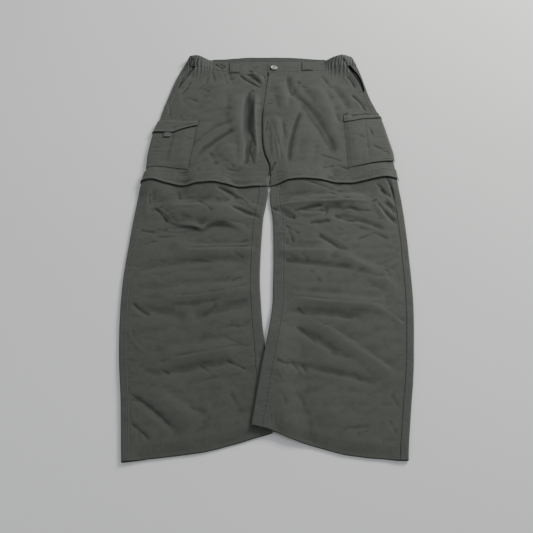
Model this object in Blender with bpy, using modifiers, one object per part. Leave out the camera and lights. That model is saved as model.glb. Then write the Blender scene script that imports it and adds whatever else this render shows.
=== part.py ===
"""Convertible zip-off trousers, laid flat on their back with the front up.

The waist is at +Y, the hems at -Y and the front faces +Z. The trousers rest on the plane z = 0.
"left" and "right" are the sides at -X and +X. Plan tables are in millimetres, shapes in metres.
"""

import math
from typing import NamedTuple

import bmesh
import bpy
import numpy as np

MM = 0.001

# Driving dimensions
CLOTH = 1.0 * MM            # wall of one layer of the nylon cloth
BAND_CLOTH = 1.6 * MM       # waistband, two layers sewn together
SEAM_GAP = 0.4 * MM         # clearance between pieces that are sewn end to end
STRIP_GAP = 0.9 * MM        # clearance along the curved side seams
CENTRE_GAP = 0.35 * MM      # half the clearance along the centre seam
LAY_GAP = 0.9 * MM          # clearance under a layer that lies on a folded panel
REST_HEIGHT = 5.0 * MM      # top of the front panel over the floor, panels lying on each other
LEAST_HEIGHT = 2.9 * MM     # the same at the bottom of the deepest fold
OUTER_STRIP = 14.0 * MM     # how far the back panel comes round the outer edge onto the front
INNER_STRIP = 19.0 * MM     # the same at the inside of the leg
THIGH_ROLL = 4.0 * MM       # radius of the front panel where it turns down between the thighs
WAIST_BACK_TOP = 521.0 * MM
WAIST_BACK_FOOT = 483.6 * MM
BAND_END_LEFT = -126.0 * MM   # where the plain waistband ends and the gathered side begins
BAND_END_RIGHT = 139.0 * MM
RUFFLES = 6                 # gathers across one folded elastic side
RUFFLE_HEIGHT = 1.1 * MM
ZIP_TAPE = 15.0 * MM        # width of the zip's tape that is let in between thigh and leg
STORM_BAND = 27.0 * MM      # width of the band that covers the zip
STORM_LIP = 1.6 * MM        # how far the band's lower edge stands off
HEM_DROP = 3.0 * MM         # the back hem shows this far below the front hem
LEG_LIFT = 5.6 * MM         # height at which the right leg lies over the left one
SIDE_FOOT = 1.8 * MM        # how near the floor a layer ends that turns down round the edge
BUTTON_DIAMETER = 15.0 * MM
BUTTON_HEIGHT = 2.4 * MM
POCKET_LAYER = 1.8 * MM     # outer face of a cargo pocket over the panel below it
POCKET_FULLNESS = 2.2 * MM
FLAP_LAYER = 1.7 * MM       # outer face of a flap over the pocket below it
PLAN_CENTRE = (2.521 * MM, -3.755 * MM)  # middle of the plan, moved to the origin


class Section(NamedTuple):
    """Edges of both trouser sides on one line across the plan (mm)."""

    y: float
    left_outer: float
    left_inner: float
    right_inner: float
    right_outer: float


SECTIONS = (
    Section(530, -177, 4, 4, 198),
    Section(500, -187, 4, 4, 208),
    Section(459, -203, 5, 5, 219),
    Section(412, -215, 0, 0, 227),
    Section(373, -223, -3, -3, 234),
    Section(333, -231, -7, -7, 245),
    Section(297, -237, -10, -10, 254),
    Section(259, -243, -10, -10, 258),
    Section(224, -247, -9, -9, 263),
    Section(188, -250, -4, -4, 268),
    Section(168, -251, 2, 2, 269),
    Section(150, -252, 6, 6, 270),
    Section(112, -257, 6, 6, 272),
    Section(86, -261, 5, 6.5, 273),
    Section(50, -263, 1, 7, 275),
    Section(0, -266, -6, 12, 276),
    Section(-50, -268, -9, 13, 276),
    Section(-100, -270, -11, 13, 275),
    Section(-150, -271, -12, 12, 274),
    Section(-200, -270, -10, 11, 272),
    Section(-250, -267, -7, 6, 268),
    Section(-297, -263, -3, -1, 263),
    Section(-342, -258, 0, -9, 258),
    Section(-383, -252, 3, -15, 252),
    Section(-412, -248, 5, -19, 247),
    Section(-455, -243, 9, -25, 240),
    Section(-500, -238, 13, -30, 233),
    Section(-535, -234, 15, -34, 229),
)


class Across(NamedTuple):
    """A line across one side of the trousers (mm)."""

    x: float
    y: float


HEM = {
    -1: (Across(-236, -526), Across(-190, -520), Across(-137, -513), Across(-89, -504),
         Across(-28, -485), Across(16, -470)),
    1: (Across(-36, -460), Across(-2, -467), Across(38, -484), Across(91, -501),
        Across(136, -513), Across(192, -520), Across(230, -523)),
}
WAIST_FOOT = {
    -1: (Across(-200, 483.6), Across(-184, 482), Across(-160, 475), Across(-126, 471), Across(-94, 463),
         Across(-64, 458), Across(-38, 451), Across(5, 446)),
    1: (Across(-5, 461), Across(78, 467), Across(139, 468), Across(172, 474), Across(200, 482),
        Across(215, 483.6)),
}
WAIST_TOP = {
    -1: (Across(-200, 509), Across(-165, 510), Across(-126, 502), Across(-56, 499), Across(5, 499)),
    1: (Across(-5, 499), Across(80, 500), Across(139, 503), Across(178, 512), Across(215, 511)),
}


class ZipPoint(NamedTuple):
    """Lower edge of the storm band: its place in the plan and the height of the cloth (mm)."""

    x: float
    y: float
    z: float


ZIP_LINE = {
    -1: (ZipPoint(-265, 101, 8.0), ZipPoint(-240, 105, 12.5), ZipPoint(-210, 99, 8.0),
         ZipPoint(-172, 93, 3.3), ZipPoint(-142, 98, 8.5), ZipPoint(-112, 99, 10.0),
         ZipPoint(-88, 96, 7.0), ZipPoint(-55, 89, 3.3), ZipPoint(-25, 91, 5.0), ZipPoint(8, 93, 5.0)),
    1: (ZipPoint(4, 92, 3.6), ZipPoint(22, 97, 5.0), ZipPoint(48, 106, 10.5), ZipPoint(74, 108, 11.0),
        ZipPoint(110, 107, 8.5), ZipPoint(150, 101, 3.6), ZipPoint(174, 101, 3.4),
        ZipPoint(198, 105, 5.5), ZipPoint(224, 110, 9.5), ZipPoint(248, 113, 11.5),
        ZipPoint(276, 110, 6.5)),
}


class PocketEdge(NamedTuple):
    """The slanted hand pocket's edge (mm)."""

    y: float
    x: float


SLANT = {
    -1: (PocketEdge(392, -208), PocketEdge(409, -198), PocketEdge(452, -178), PocketEdge(486, -159),
         PocketEdge(500, -152)),
    1: (PocketEdge(386, 222), PocketEdge(416, 213), PocketEdge(449, 201), PocketEdge(478, 188),
        PocketEdge(500, 177)),
}
SLANT_FOOT = 402.0 * MM


class Fold(NamedTuple):
    """A ridge or a trough from one point to another, bowed sideways in its middle (mm)."""

    x0: float
    y0: float
    x1: float
    y1: float
    bow: float
    width: float
    height: float


FOLDS = {
    "left_hip": (
        Fold(-32, 402, -31, 195, -12, 17, -2.3),
        Fold(-38, 352, -37, 232, -3, 8, -1.2),
        Fold(-47, 224, -35, 144, 2, 9, -2.0),
        Fold(-21, 395, -18, 165, -3, 13, 3.2),
        Fold(-62, 392, -60, 240, -6, 22, 2.6),
        Fold(-56, 275, -155, 172, -9, 11, -1.7),
        Fold(-66, 288, -160, 192, -9, 14, 1.8),
        Fold(-110, 440, -112, 320, 8, 45, 2.2),
        Fold(-84, 226, -70, 140, 0, 30, 2.2),
        Fold(-52, 456, -10, 408, 5, 9, -2.2),
        Fold(-40, 462, -6, 424, 5, 10, 3.0),
        Fold(-157, 484, -204, 400, 0, 20, 1.0),
        Fold(-92, 480, -78, 425, 0, 10, -1.0),
    ),
    "right_hip": (
        Fold(50, 456, 84, 353, -9, 13, -2.3),
        Fold(66, 380, 150, 176, 7, 14, -2.3),
        Fold(79, 334, 48, 146, -7, 10, -1.9),
        Fold(150, 420, 188, 326, 3, 15, -1.6),
        Fold(192, 384, 224, 336, 0, 8, -1.4),
        Fold(28, 430, 44, 330, 2, 18, 2.2),
        Fold(104, 430, 150, 250, 8, 26, 2.6),
        Fold(90, 260, 88, 150, 4, 18, 2.6),
        Fold(22, 320, 26, 170, 0, 16, 2.0),
        Fold(178, 498, 221, 392, 0, 26, 1.8),
        Fold(2, 455, -6, 345, 3, 9, 1.4),
    ),
    "left_leg": (
        Fold(-216, 30, -36, 22, 4, 32, 5.0),
        Fold(-224, 34, -176, -13, 4, 10, -3.0),
        Fold(-206, -27, -133, -18, -5, 11, -3.0),
        Fold(-135, -20, -86, 2, 3, 10, -2.8),
        Fold(-92, 3, -36, -22, 3, 10, -2.8),
        Fold(-108, 92, -52, 50, 4, 9, -2.0),
        Fold(-80, 38, -8, 0, 2, 9, -2.0),
        Fold(-245, 88, -240, 0, 0, 16, 2.0),
        Fold(-190, -84, -8, -85, 0, 30, 3.4),
        Fold(-264, -122, -10, -97, 5, 20, -2.0),
        Fold(-218, -194, -10, -172, 3, 30, 3.4),
        Fold(-247, -212, -135, -240, 0, 20, -2.0),
        Fold(-145, -240, -18, -200, 0, 19, -2.0),
        Fold(-250, -204, -212, -237, 0, 8, -1.4),
        Fold(-195, -322, -30, -300, 0, 30, 3.0),
        Fold(-224, -358, -44, -327, -6, 16, -2.0),
        Fold(-74, -331, -30, -352, 0, 7, -1.4),
        Fold(-238, -396, -136, -484, 3, 14, -2.0),
        Fold(-205, -390, -105, -470, 3, 26, 2.6),
        Fold(-229, -455, -188, -490, 0, 10, -1.4),
    ),
    "right_leg": (
        Fold(20, 42, 218, 56, 5, 26, 4.4),
        Fold(10, 33, 60, 2, 3, 10, -2.6),
        Fold(66, 26, 122, 25, -2, 9, -1.8),
        Fold(94, -11, 130, -2, 0, 8, -1.6),
        Fold(132, 16, 238, -28, 4, 11, -2.2),
        Fold(94, -38, 164, -86, 2, 9, -1.8),
        Fold(14, -84, 138, -85, 0, 26, 3.4),
        Fold(128, -84, 250, -180, 8, 26, 3.4),
        Fold(14, -105, 180, -125, 3, 14, -2.0),
        Fold(168, -123, 228, -150, 2, 13, -1.8),
        Fold(32, -193, 232, -216, 2, 26, 3.4),
        Fold(32, -223, 192, -243, 2, 15, -2.0),
        Fold(72, -244, 232, -385, 6, 23, 3.4),
        Fold(50, -258, 132, -324, 3, 14, -2.0),
        Fold(14, -335, 198, -380, 4, 13, -2.0),
        Fold(231, 84, 259, 58, 0, 7, -1.6),
        Fold(238, 50, 261, 10, 3, 8, -1.8),
        Fold(236, 22, 261, -14, 2, 7, -1.4),
        Fold(60, -400, 150, -470, 0, 40, 1.8),
    ),
}


class Dome(NamedTuple):
    """A broad rise of the cloth round one point (mm)."""

    x: float
    y: float
    reach_x: float
    reach_y: float
    height: float


DOMES = (
    Dome(-164, 500, 46, 62, 9.0),
    Dome(178, 503, 48, 62, 9.0),
)


def smooth(value):
    """Ease from 0 to 1 for values from 0 to 1, flat outside."""
    value = np.clip(value, 0.0, 1.0)
    return value * value * (3.0 - 2.0 * value)


def curve(at, knots, values):
    """Read a smooth curve through rising knots that never swings past its values."""
    knots = np.asarray(knots, dtype=float)
    values = np.asarray(values, dtype=float)
    steps = np.diff(values) / np.diff(knots)
    before, after = steps[:-1], steps[1:]
    both = before + after
    mean = np.where(before * after > 0, 2 * before * after / np.where(both == 0, 1.0, both), 0.0)
    slopes = np.concatenate([steps[:1], mean, steps[-1:]])
    at = np.clip(at, knots[0], knots[-1])
    i = np.clip(np.searchsorted(knots, at, side="right") - 1, 0, len(knots) - 2)
    span = knots[i + 1] - knots[i]
    t = (at - knots[i]) / span
    rise = values[i + 1] - values[i]
    a = slopes[i] * span - rise
    b = rise - slopes[i + 1] * span
    return (1 - t) * values[i] + t * values[i + 1] + t * (1 - t) * (a * (1 - t) + b * t)


def column(rows, name):
    """Return one named column of a table, in metres."""
    return [getattr(row, name) * MM for row in rows]


def edge_at(name, y):
    """Read one edge of the outline at y."""
    rows = sorted(SECTIONS, key=lambda row: row.y)
    return curve(y, column(rows, "y"), column(rows, name))


def line_at(rows, x):
    """Read a line across the trousers at x."""
    return curve(x, column(rows, "x"), column(rows, "y"))


def outer_edge(side, y):
    """Outer edge of one side at y."""
    return edge_at("left_outer" if side < 0 else "right_outer", y)


def inner_edge(side, y):
    """Centre seam, then the inside of the leg, a little narrower under the storm band."""
    raw = edge_at("left_inner" if side < 0 else "right_inner", y)
    narrow = 2.6 * MM * smooth(1.5 - np.abs(y - 106 * MM) / (40 * MM))
    return raw + side * (CENTRE_GAP + narrow)


def slant_edge(side, y):
    """The hand pocket's slanted edge at y."""
    rows = SLANT[side]
    return curve(y, column(rows, "y"), column(rows, "x"))


def zip_line(side, x):
    """Plan position of the storm band's lower edge at x."""
    return line_at(ZIP_LINE[side], x)


def zip_under(side, x):
    """Lower edge of the zip's tape on the underside, straight from one side of the leg to the other."""
    rows = ZIP_LINE[side]
    first, last = rows[0], rows[-1]
    share = (x - first.x * MM) / ((last.x - first.x) * MM)
    return (first.y + (last.y - first.y) * share + 3) * MM


def fold_height(rows, x, y):
    """Add up the ridges and troughs of one table at x and y."""
    total = np.zeros_like(x)
    for row in rows:
        ax, ay, bx, by = (v * MM for v in (row.x0, row.y0, row.x1, row.y1))
        length = math.hypot(bx - ax, by - ay)
        ex, ey = (bx - ax) / length, (by - ay) / length
        along = ((x - ax) * ex + (y - ay) * ey) / length
        across = (x - ax) * -ey + (y - ay) * ex
        centre = row.bow * MM * 4.0 * along * (1.0 - along)
        reach = np.clip(np.abs(across - centre) / (row.width * MM), 0.0, 1.0)
        ends = smooth(along / 0.22) * smooth((1.0 - along) / 0.22)
        total = total + row.height * MM * np.cos(reach * math.pi / 2) ** 2 * ends
    return total


def cloth_height(side, x, y):
    """Height of the front's outer face over the floor."""
    outer = outer_edge(side, y)
    inner = inner_edge(side, y)
    width = np.maximum(np.abs(outer - inner), 10 * MM)
    from_outer = np.abs(outer - x)
    from_inner = np.abs(x - inner)
    line = zip_line(side, x)
    above = y - line
    rows = ZIP_LINE[side]
    wave = curve(x, column(rows, "x"), column(rows, "z")) - REST_HEIGHT
    near_zip = smooth(1.0 - np.where(above > 0, above / (85 * MM), -above / (50 * MM)))
    name = ("left" if side < 0 else "right") + ("_hip", "_leg")[0]
    hip = fold_height(FOLDS[name], x, y)
    leg = fold_height(FOLDS[name.replace("_hip", "_leg")], x, y)
    clear = 1.0 - 0.85 * smooth(1.0 - np.abs(above - 13 * MM) / (45 * MM))
    folds = (hip + leg) * clear
    edge = 0.35 + 0.65 * smooth(np.minimum(from_outer, from_inner) / (22 * MM))
    flat_hem = 1.0 - 0.6 * smooth((-430 * MM - y) / (60 * MM))
    height = REST_HEIGHT + wave * near_zip + folds * edge * flat_hem
    for dome in DOMES:
        away = np.hypot((x - dome.x * MM) / (dome.reach_x * MM), (y - dome.y * MM) / (dome.reach_y * MM))
        height = height + dome.height * MM * smooth(1.0 - away)
    if side < 0:
        press = smooth((-225 * MM - y) / (50 * MM)) * smooth(1.0 - (from_inner - 42 * MM) / (35 * MM))
        height = height + (4.4 * MM - height) * press
    low = LEAST_HEIGHT
    soft = 1.2 * MM
    return np.where(height < low + soft, low + soft * np.exp((height - low - soft) / soft), height)


def leg_lift(side, x, y):
    """Rise of the right leg where it lies over the inside of the left leg."""
    if side < 0:
        return np.zeros_like(x)
    reach = edge_at("left_inner", y) + 18 * MM
    over = smooth((reach + 52 * MM - x) / (52 * MM))
    return LEG_LIFT * over * smooth((-195 * MM - y) / (85 * MM))


def settle(x_of, low, high, share):
    """Find points on lines across a piece whose edges themselves depend on the point."""
    y = low(np.zeros_like(share)) * (1 - share) + high(np.zeros_like(share)) * share
    x = x_of(y)
    for _ in range(7):
        y = low(x) * (1 - share) + high(x) * share
        x = x_of(y)
    return x, y


def make_piece(name, columns, rows, place, wall, colour, face_down=False, rough=0.85, metal=0.0):
    """Turn a flat grid into one cloth piece of even wall.

    columns and rows are the shares at which the grid is cut, place gives the outer face there.
    """
    mesh_data = bmesh.new()
    bmesh.ops.create_grid(mesh_data, x_segments=len(columns) - 1, y_segments=len(rows) - 1, size=0.5)
    verts = list(mesh_data.verts)
    across = np.array([v.co.x + 0.5 for v in verts]) * (len(columns) - 1)
    along = np.array([v.co.y + 0.5 for v in verts]) * (len(rows) - 1)
    u = np.interp(across, range(len(columns)), columns)
    v = np.interp(along, range(len(rows)), rows)
    x, y, z = place(u, v)
    for vert, px, py, pz in zip(verts, x, y, z):
        vert.co = (px - PLAN_CENTRE[0], py - PLAN_CENTRE[1], pz)
    mesh_data.normal_update()
    lowest = min(mesh_data.faces, key=lambda f: f.calc_center_median().z)
    up = sum(f.normal.z * f.calc_area() for f in mesh_data.faces)
    wrong = lowest.normal.z > 0 if face_down else up < 0
    if wrong:
        bmesh.ops.reverse_faces(mesh_data, faces=mesh_data.faces)
    mesh = bpy.data.meshes.new(name)
    mesh_data.to_mesh(mesh)
    mesh_data.free()
    piece = bpy.data.objects.new(name, mesh)
    collection.objects.link(piece)
    mesh.materials.append(material(colour, rough, metal))
    mesh.shade_smooth()
    solid = piece.modifiers.new("wall", "SOLIDIFY")
    solid.thickness = wall
    solid.offset = -1.0
    solid.use_rim = True
    solid.use_even_offset = True
    return piece


def material(colour, rough, metal):
    """Return the material of a colour, made once."""
    name = "cloth_%02x%02x%02x" % tuple(int(c * 255) for c in colour) if metal == 0 else "metal"
    found = bpy.data.materials.get(name)
    if found is None:
        found = bpy.data.materials.new(name)
        found.use_nodes = True
        shader = found.node_tree.nodes["Principled BSDF"]
        shader.inputs["Base Color"].default_value = (*colour, 1.0)
        shader.inputs["Roughness"].default_value = rough
        shader.inputs["Metallic"].default_value = metal
    return found


def shares(count, ease=0.0):
    """Even shares from 0 to 1, drawn towards both ends by ease."""
    t = np.linspace(0.0, 1.0, count + 1)
    return list(t - ease * np.sin(2 * math.pi * t) / (2 * math.pi))


class Span(NamedTuple):
    """One stretch of a section round the leg and the number of strips it is cut into."""

    kind: str
    strips: int


def wrapped(side, spans, low, high, outer_strip, inner_strip, ruffle=None):
    """Section of a piece that lies flat below and comes round the edges onto the front.

    low and high give the ends along the leg for the underside and for the top, as (under, top).
    """
    kinds, shares_in = [], []
    for span in spans:
        start = 0 if not kinds else 1
        for k in range(start, span.strips + 1):
            kinds.append(span.kind)
            shares_in.append(k / span.strips)
    kinds = np.array(kinds)
    shares_in = np.array(shares_in)
    count = len(kinds)

    def place(u, v):
        index = np.rint(u * (count - 1)).astype(int)
        kind = kinds[index]
        t = shares_in[index]
        turn_in = kind == "inner_roll"
        turn_out = kind == "outer_roll"
        swing = np.where(turn_in, (0.5 - t) * math.pi, (t - 0.5) * math.pi)
        on_top = np.where((kind == "inner_top") | (kind == "outer_top"), 1.0,
                          np.where(turn_in | turn_out, (1 + np.sin(swing)) / 2, 0.0))

        def x_of(y):
            outer = outer_edge(side, y)
            inner = inner_edge(side, y)
            r_out = cloth_height(side, outer - side * 3 * MM, y) / 2
            r_in = cloth_height(side, inner + side * 3 * MM, y) / 2
            centre_out = outer - side * r_out
            has_in = "inner_roll" in kinds
            centre_in = inner + side * (r_in if has_in else 0.0)
            x = np.where(kind == "under", centre_in + (centre_out - centre_in) * t, 0.0)
            x = np.where(turn_out, centre_out + side * r_out * np.cos(swing), x)
            x = np.where(turn_in, centre_in - side * r_in * np.cos(swing), x)
            strip_out = outer_strip(y) if callable(outer_strip) else outer_strip
            x = np.where(kind == "outer_top", centre_out - side * (strip_out - r_out) * t, x)
            x = np.where(kind == "inner_top", centre_in + side * (inner_strip - r_in) * (1 - t), x)
            return x

        def ends(pair):
            return lambda x: pair[0](x) * (1 - on_top) + pair[1](x) * on_top

        x, y = settle(x_of, ends(low), ends(high), v)
        edge = np.where(turn_in | (kind == "inner_top"), inner_edge(side, y) + side * 3 * MM,
                        outer_edge(side, y) - side * 3 * MM)
        radius = cloth_height(side, edge, y) / 2
        z = np.where(kind == "under", 0.0, radius * (1 + np.sin(swing)))
        z = np.where(on_top == 1.0, cloth_height(side, x, y), z)
        if ruffle is not None:
            z = z + ruffle(x, y, on_top)
        return x, y, z + leg_lift(side, x, y)

    return list(np.linspace(0, 1, count)), place


def layer(side, outer_at, low, high, offset, columns, turn=4, inner_at=None, thigh_turn=3):
    """Section of a piece that lies on the front at a given offset.

    outer_at is an edge in the plan, or None for a piece that turns down round the outer edge.
    inner_at is an edge in the plan, or None for a piece that turns down between the thighs.
    """
    marks = []
    if inner_at is None:
        marks += [("thigh", k / thigh_turn) for k in range(thigh_turn)]
    marks += [("flat", share) for share in columns]
    if outer_at is None:
        marks += [("side", (k + 1) / turn) for k in range(turn)]
    kinds = np.array([m[0] for m in marks])
    values = np.array([m[1] for m in marks])
    count = len(marks)

    def place(u, v):
        index = np.rint(u * (count - 1)).astype(int)
        kind, t = kinds[index], values[index]

        def x_of(y):
            outer, inner = outer_edge(side, y), inner_edge(side, y)
            r_out = cloth_height(side, outer - side * 3 * MM, y) / 2
            start = inner + side * THIGH_ROLL if inner_at is None else inner_at(y)
            end = outer - side * r_out if outer_at is None else outer_at(y)
            x = start + (end - start) * t
            lift = offset(x, y)
            swing = t * np.arccos(np.clip((SIDE_FOOT - r_out) / (r_out + lift), -0.6, 0.6))
            x = np.where(kind == "side", outer - side * r_out + side * (r_out + lift) * np.sin(swing), x)
            swing_in = (1 - t) * math.pi / 2
            return np.where(kind == "thigh",
                            inner + side * THIGH_ROLL - side * (THIGH_ROLL + lift) * np.sin(swing_in), x)

        x, y = settle(x_of, low, high, v)
        outer = outer_edge(side, y)
        radius = cloth_height(side, outer - side * 3 * MM, y) / 2
        lift = offset(x, y)
        z = cloth_height(side, x, y) + lift
        swing = t * np.arccos(np.clip((SIDE_FOOT - radius) / (radius + lift), -0.6, 0.6))
        z = np.where(kind == "side", radius + (radius + lift) * np.cos(swing), z)
        inner = inner_edge(side, y)
        top = cloth_height(side, inner + side * THIGH_ROLL, y)
        drop = (top - CLOTH - 0.6 * MM) * smooth((345 * MM - y) / (90 * MM))
        swing_in = (1 - t) * math.pi / 2
        rolled = top - drop + (drop + lift) * np.cos(swing_in)
        flat_end = top + lift
        share = np.clip(drop / (1.0 * MM), 0.0, 1.0)
        z = np.where(kind == "thigh", rolled * share + flat_end * (1 - share), z)
        return x, y, z + leg_lift(side, x, y)

    return list(np.linspace(0, 1, count)), place


def no_offset(x, y):
    """Offset of a piece that is itself the front's outer face."""
    return np.zeros_like(x)


def level(value):
    """A straight line across at one y."""
    return lambda x: np.full_like(x, value)


NYLON = (0.088, 0.097, 0.089)
NYLON_SHADE = (0.075, 0.083, 0.078)
TAPE = (0.030, 0.033, 0.032)
METAL = (0.62, 0.62, 0.60)


def side_name(side):
    """Name of the side at -X or +X."""
    return "left" if side < 0 else "right"


def front_outer(side, y):
    """Outer edge of the thigh's front panel: the slanted pocket above, the side strip below."""
    strip = outer_edge(side, y) - side * (OUTER_STRIP + STRIP_GAP)
    slant = slant_edge(side, y)
    return np.where(y > SLANT[side][0].y * MM, side * np.minimum(side * strip, side * slant), strip)


def build_hip(side):
    """Back and front of the upper part, and the facing that shows in the hand pocket."""
    name = side_name(side)
    tape_top = lambda x: zip_line(side, x) + 3 * MM + ZIP_TAPE
    low = (lambda x: zip_under(side, x) + ZIP_TAPE, tape_top)
    high = (level(WAIST_BACK_FOOT - STRIP_GAP), lambda x: line_at(WAIST_FOOT[side], x) - SEAM_GAP)
    spans = (Span("under", 8), Span("outer_roll", 4), Span("outer_top", 2))
    columns, place = wrapped(side, spans, low, high, OUTER_STRIP, 0.0)
    make_piece(f"back_{name}", columns, shares(14), place, CLOTH, NYLON_SHADE, face_down=True)

    columns, place = layer(side, lambda y: front_outer(side, y), tape_top, high[1], no_offset,
                           shares(15, 0.25))
    make_piece(f"front_{name}", columns, shares(14), place, CLOTH, NYLON)

    sink = 0.6 * MM if side < 0 else 1.6 * MM

    def facing_offset(x, y):
        seam = slant_edge(side, y)
        past = side * (x - seam)
        return -(CLOTH + 0.8 * MM + sink * smooth(past / (4 * MM))) * smooth(1.0 - (past - 10 * MM) / (8 * MM))

    facing_in = lambda y: slant_edge(side, y) - side * 7 * MM
    facing_out = lambda y: outer_edge(side, y) - side * (OUTER_STRIP + STRIP_GAP)
    columns, place = layer(side, facing_out, level(SLANT_FOOT), high[1], facing_offset, shares(6),
                           inner_at=facing_in)
    make_piece(f"pocket_facing_{name}", columns, shares(7), place, CLOTH, NYLON_SHADE)


def build_zip(side):
    """Zip tape round the leg and the storm band over it."""
    name = side_name(side)
    tape_low = lambda x: zip_line(side, x) + 3 * MM
    tape_high = lambda x: zip_line(side, x) + 3 * MM + ZIP_TAPE - STRIP_GAP
    outer_at = lambda y: outer_edge(side, y) - side * (OUTER_STRIP + STRIP_GAP)
    inner_at = lambda y: inner_edge(side, y) + side * (INNER_STRIP + STRIP_GAP)
    columns, place = layer(side, outer_at, tape_low, tape_high, no_offset, shares(14), inner_at=inner_at)
    make_piece(f"zip_front_{name}", columns, shares(1), place, CLOTH, TAPE)

    low = (lambda x: zip_under(side, x), tape_low)
    high = (lambda x: zip_under(side, x) + ZIP_TAPE - SEAM_GAP, tape_high)
    spans = (Span("inner_top", 2), Span("inner_roll", 4), Span("under", 8), Span("outer_roll", 4),
             Span("outer_top", 2))
    columns, place = wrapped(side, spans, low, high, OUTER_STRIP, INNER_STRIP)
    make_piece(f"zip_back_{name}", columns, shares(1), place, CLOTH, TAPE, face_down=True)

    def lie(x, y):
        lip = smooth(1.0 - (y - zip_line(side, x)) / (12 * MM))
        open_side = smooth(np.abs(x - inner_edge(side, y)) / (18 * MM) - 0.3)
        return LAY_GAP + CLOTH + STORM_LIP * lip * open_side

    columns, place = layer(side, None, lambda x: zip_line(side, x),
                           lambda x: zip_line(side, x) + STORM_BAND, lie, shares(15, 0.25))
    make_piece(f"zip_band_{name}", columns, shares(3), place, CLOTH, NYLON)


def build_leg(side):
    """Front and back of one zip-off leg."""
    name = side_name(side)
    top = lambda x: zip_line(side, x) + 3 * MM - SEAM_GAP
    hem = lambda x: line_at(HEM[side], x)
    outer_at = lambda y: outer_edge(side, y) - side * (OUTER_STRIP + STRIP_GAP)
    inner_at = lambda y: inner_edge(side, y) + side * (INNER_STRIP + STRIP_GAP)
    columns, place = layer(side, outer_at, hem, top, no_offset, shares(14), inner_at=inner_at)
    make_piece(f"leg_front_{name}", columns, shares(18), place, CLOTH, NYLON)

    low = (lambda x: line_at(HEM[side], x) - HEM_DROP, hem)
    high = (lambda x: zip_under(side, x) - SEAM_GAP, top)
    spans = (Span("inner_top", 2), Span("inner_roll", 4), Span("under", 10), Span("outer_roll", 4),
             Span("outer_top", 2))
    columns, place = wrapped(side, spans, low, high, OUTER_STRIP, INNER_STRIP)
    make_piece(f"leg_back_{name}", columns, shares(18), place, CLOTH, NYLON_SHADE, face_down=True)


def build_waist():
    """Waistband, gathered elastic sides, belt loops, button and the fly's zip."""
    def flat_back(u, v):
        x = BAND_END_LEFT + SEAM_GAP + (BAND_END_RIGHT - BAND_END_LEFT - 2 * SEAM_GAP) * u
        y = WAIST_BACK_FOOT + (WAIST_BACK_TOP - WAIST_BACK_FOOT) * v
        return x, y, np.zeros_like(x)

    make_piece("waistband_back", shares(10), shares(2), flat_back, BAND_CLOTH, NYLON_SHADE, face_down=True)

    for side in (-1, 1):
        name = side_name(side)
        end = BAND_END_LEFT if side < 0 else BAND_END_RIGHT
        fly = lambda y: edge_at("left_inner", y) * 0 - 1.5 * MM * np.ones_like(y) + side * CENTRE_GAP
        columns, place = layer(side, lambda y: np.full_like(y, end - side * SEAM_GAP),
                               lambda x: line_at(WAIST_FOOT[side], x),
                               lambda x: line_at(WAIST_TOP[side], x),
                               lambda x, y: np.full_like(x, 0.3 * MM), shares(12), inner_at=fly)
        make_piece(f"waistband_front_{name}", columns, shares(3), place, BAND_CLOTH, NYLON)

        def ruffle(x, y, on_top, end=end):
            along = np.abs(x - end) / (60 * MM)
            return RUFFLE_HEIGHT * (np.sin(along * RUFFLES * 2 * math.pi - math.pi / 2) + 1) * \
                smooth(along / 0.08) * on_top

        low = (level(WAIST_BACK_FOOT), lambda x, side=side: line_at(WAIST_FOOT[side], x))
        high = (level(WAIST_BACK_TOP), lambda x, side=side: line_at(WAIST_TOP[side], x))
        spans = (Span("under", 3), Span("outer_roll", 5), Span("outer_top", 24))

        columns, place = wrapped(side, spans, low, high,
                                 lambda y, side=side, end=end: np.abs(outer_edge(side, y) - end), 0.0, ruffle)
        under = place

        def trimmed(u, v, place=under, end=end, side=side):
            x, y, z = place(u, v)
            inner = inner_edge(side, y)
            share = np.clip((x - inner) / (outer_edge(side, y) - inner), 0.0, 1.0)
            flat = z < 1e-7
            kept = end + (outer_edge(side, y) - end) * share
            return np.where(flat, kept, x), y, z

        make_piece(f"waist_elastic_{name}", columns, shares(3), trimmed, BAND_CLOTH, NYLON, face_down=True)

    def fly_tape(u, v):
        y = (350 + 92 * v) * MM
        x = edge_at("left_inner", y) + (u - 0.5) * 20 * MM
        z = np.minimum(cloth_height(-1, x, y), cloth_height(1, x, y)) - CLOTH - 0.7 * MM
        return x, y, np.maximum(z, 2.2 * MM)

    make_piece("fly_zip", shares(4), shares(8), fly_tape, 0.8 * MM, TAPE)

    for name, side, x0, y0, y1 in (("belt_loop_left", -1, -86, 459, 498), ("belt_loop_right", 1, 84, 468, 503)):
        def loop(u, v, side=side, x0=x0, y0=y0, y1=y1):
            x = (x0 + 24 * u) * MM
            y = (y0 + (y1 - y0) * v) * MM
            stand = 1.2 * MM * np.sin(math.pi * v)
            return x, y, cloth_height(side, x, y) + 0.3 * MM + 0.6 * MM + 1.2 * MM + stand

        make_piece(name, shares(3), shares(6), loop, 1.2 * MM, NYLON)


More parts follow.
